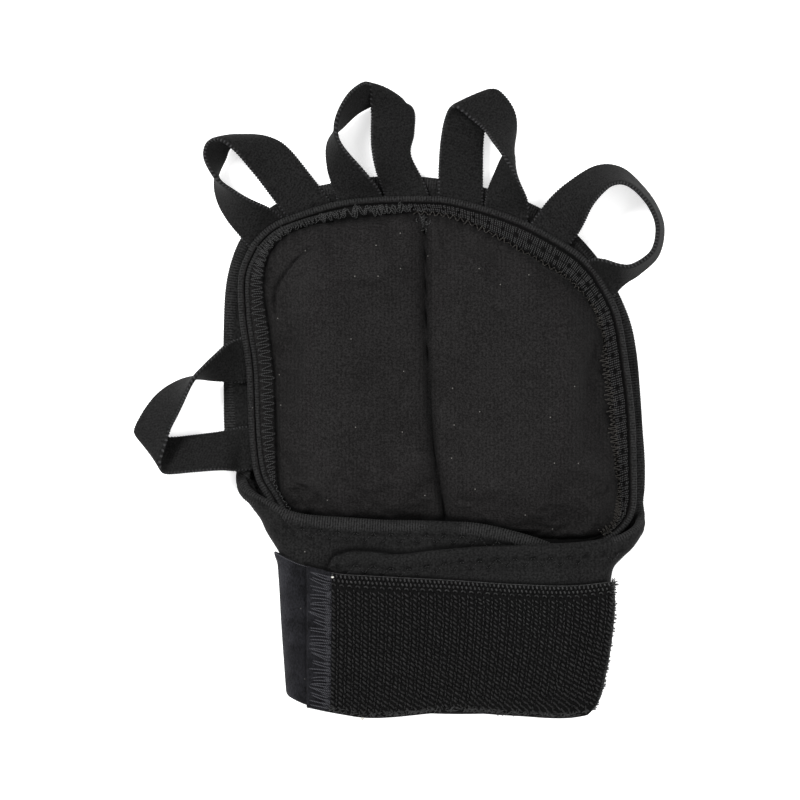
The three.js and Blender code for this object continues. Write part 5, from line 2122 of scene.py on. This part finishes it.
    def seam(self) -> MeshData:
        """Dense stitches that join the tape to the strap: near level threads in fans, whose left
        ends wander as a sine, and a row of short fine ones at their right ends.

        Returns:
            The mesh.
        """
        rng = np.random.default_rng(SEED + 16)
        face = self.ground - HOOK_TAPE / 2
        count = 40
        t = np.linspace(0, 1, 9)[None]
        right = np.linspace(0.03, 0.965, count) + rng.normal(0, 0.003, count)
        pair = np.where(np.arange(count) % 2, -0.4, 0.4) * rng.uniform(0.2, 1.1, count)
        left = right + (pair + 0.9 * np.sin(np.arange(count) * 0.55) - 0.2) / count
        start = self.seam_from + 0.3 + np.abs(rng.normal(0, 0.8, count))
        end = self.seam_to - rng.uniform(0, 0.5, count)
        x = between(start[:, None], end[:, None], t)
        v = left[:, None] * (1 - t) ** 1.6 + right[:, None] * (1 - (1 - t) ** 1.6)
        long = self.place(self.share(x), np.clip(v, 0.01, 0.985))
        long[..., 2] += face + 0.2 * np.sin(math.pi * t) + rng.uniform(0, 0.2, (count, 1))
        count = 190
        v = rng.uniform(0.01, 0.975, (count, 1)) + 0.004 * t * rng.normal(0, 1, (count, 1))
        x = self.seam_to - 1.5 + 0.5 * rng.normal(0, 1, (count, 1)) + 1.5 * t
        short = self.place(self.share(np.minimum(x, self.seam_to + 0.1)), v)
        short[..., 2] += face + 0.1 * np.sin(math.pi * t)
        return joined([threads(long, 0.2, 5), threads(short, 0.11, 5)])

    def ends(self) -> MeshData:
        """Two cut thread ends: one at the join's upper corner, one under the tape's lower edge.

        Returns:
            The mesh.
        """
        t = np.linspace(0, 1, 7)
        made = []
        for x, v, reach, radius in ((-19.0, 0.972, 0.5, 0.3), (-9.0, 0.0, 0.7, 0.32)):
            path = self.laid(self.share(np.array([x])), np.array([v]), reach * (t - 0.4),
                             -0.5 * reach * np.sin(math.pi * t), 0.3)
            made.append(threads(path, radius))
        return joined(made)

    def build(self) -> list[Piece]:
        """Make the tape, its hooks and its stitches.

        Returns:
            The pieces.
        """
        turn = float(self.share(self.seam_to + 0.3))
        turned = self.sheet(0.0, turn)
        pieces = [self.piece(*row) for row in (
            ("hook_tape_ground", self.sheet(turn, 1.0), "ground"),
            # The joined end carries painted shade: its pile is mixed 45 % towards the shade colour all
            # over.
            ("tape_joined_end", with_painted_shade(turned, np.full(len(turned.points), 0.45)), "plush"),
            ("hook_rows", self.hook_field(), "hooks"),
            ("hook_selvedge", self.selvedge(), "selvedge"),
            ("tape_edge_loops", self.fuzz(), "selvedge"),
            ("strap_seam", self.seam(), "join_thread"),
            ("thread_ends", self.ends(), "thread_end"))]
        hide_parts("hook_panel")
        return pieces


@dataclass
class Studio:
    """Plain pale floor, soft light and a camera straight above, as in the photograph."""

    camera_height: float = 4.0
    view_width: float = 0.226
    sensor: float = 36.0
    floor_colour: str = "#fafafa"
    floor_glow: float = 0.5
    floor_half: float = 3.0
    floor_drop: float = 0.0002
    sky_strength: float = 0.85

    def floor(self) -> None:
        """Make the floor, which isn't part of the glove."""
        mesh = bpy.data.meshes.new("floor")
        corners = [(x * self.floor_half, y * self.floor_half, 0)
                   for x, y in ((-1, -1), (1, -1), (1, 1), (-1, 1))]
        mesh.from_pydata(corners, [], [(0, 1, 2, 3)])
        material = bpy.data.materials.new("pale_paper")
        material.use_nodes = True
        inputs = material.node_tree.nodes["Principled BSDF"].inputs
        inputs["Base Color"].default_value = linear(self.floor_colour)
        inputs["Roughness"].default_value = 0.9
        inputs["Emission Color"].default_value = linear(self.floor_colour)
        inputs["Emission Strength"].default_value = self.floor_glow
        mesh.materials.append(material)
        floor = bpy.data.objects.new("floor", mesh)
        floor.location.z = -self.floor_drop
        bpy.context.scene.collection.objects.link(floor)

    def lights(self) -> None:
        """Make one large key from the upper left, a fill and a bright sky."""
        scene = bpy.context.scene
        for name, place, size, power in (
                ("key", (-0.9, 0.8, 1.2), 0.5, 32.0), ("fill", (0.9, -0.6, 1.1), 1.0, 13.0)):
            light = bpy.data.lights.new(name, "AREA")
            light.size = size
            light.energy = power
            lamp = bpy.data.objects.new(name, light)
            lamp.location = place
            x, y, z = place
            lamp.rotation_euler = (math.atan2(math.hypot(x, y), z), 0, math.atan2(x, -y))
            scene.collection.objects.link(lamp)
        world = bpy.data.worlds.new("sky")
        world.use_nodes = True
        sky = world.node_tree.nodes["Background"]
        sky.inputs["Color"].default_value = linear("#ffffff")
        sky.inputs["Strength"].default_value = self.sky_strength
        scene.world = world
        scene.view_settings.view_transform = "Standard"

    def camera(self) -> None:
        """Make the camera, looking straight down at the middle of the glove."""
        lens = bpy.data.cameras.new("camera")
        lens.sensor_width = self.sensor
        lens.lens = self.sensor * self.camera_height / self.view_width
        lens.clip_end = 10
        eye = bpy.data.objects.new("camera", lens)
        eye.location = (0, 0, self.camera_height)
        bpy.context.scene.collection.objects.link(eye)
        bpy.context.scene.camera = eye


def main() -> None:
    """Build the glove and its studio."""
    logging.basicConfig(level=logging.INFO, format="%(name)s %(message)s")
    materials = Palette().made()
    wrist = Wrist()
    shell, *hems = Shell(materials, wrist).build()
    stitches = FlapStitches(materials, wrist).build()
    Pad(materials).build()
    for name, rows in LOOPS.items():
        loop = ElasticLoop(materials, name, rows)
        loop.build()
        loop.length() * MM
    strap, cord = Strap(materials, wrist).build()
    tape, *sewn = HookPanel(materials).build()
    studio = Studio()
    studio.floor()
    studio.lights()
    studio.camera()


if __name__ == "__main__":
    main()
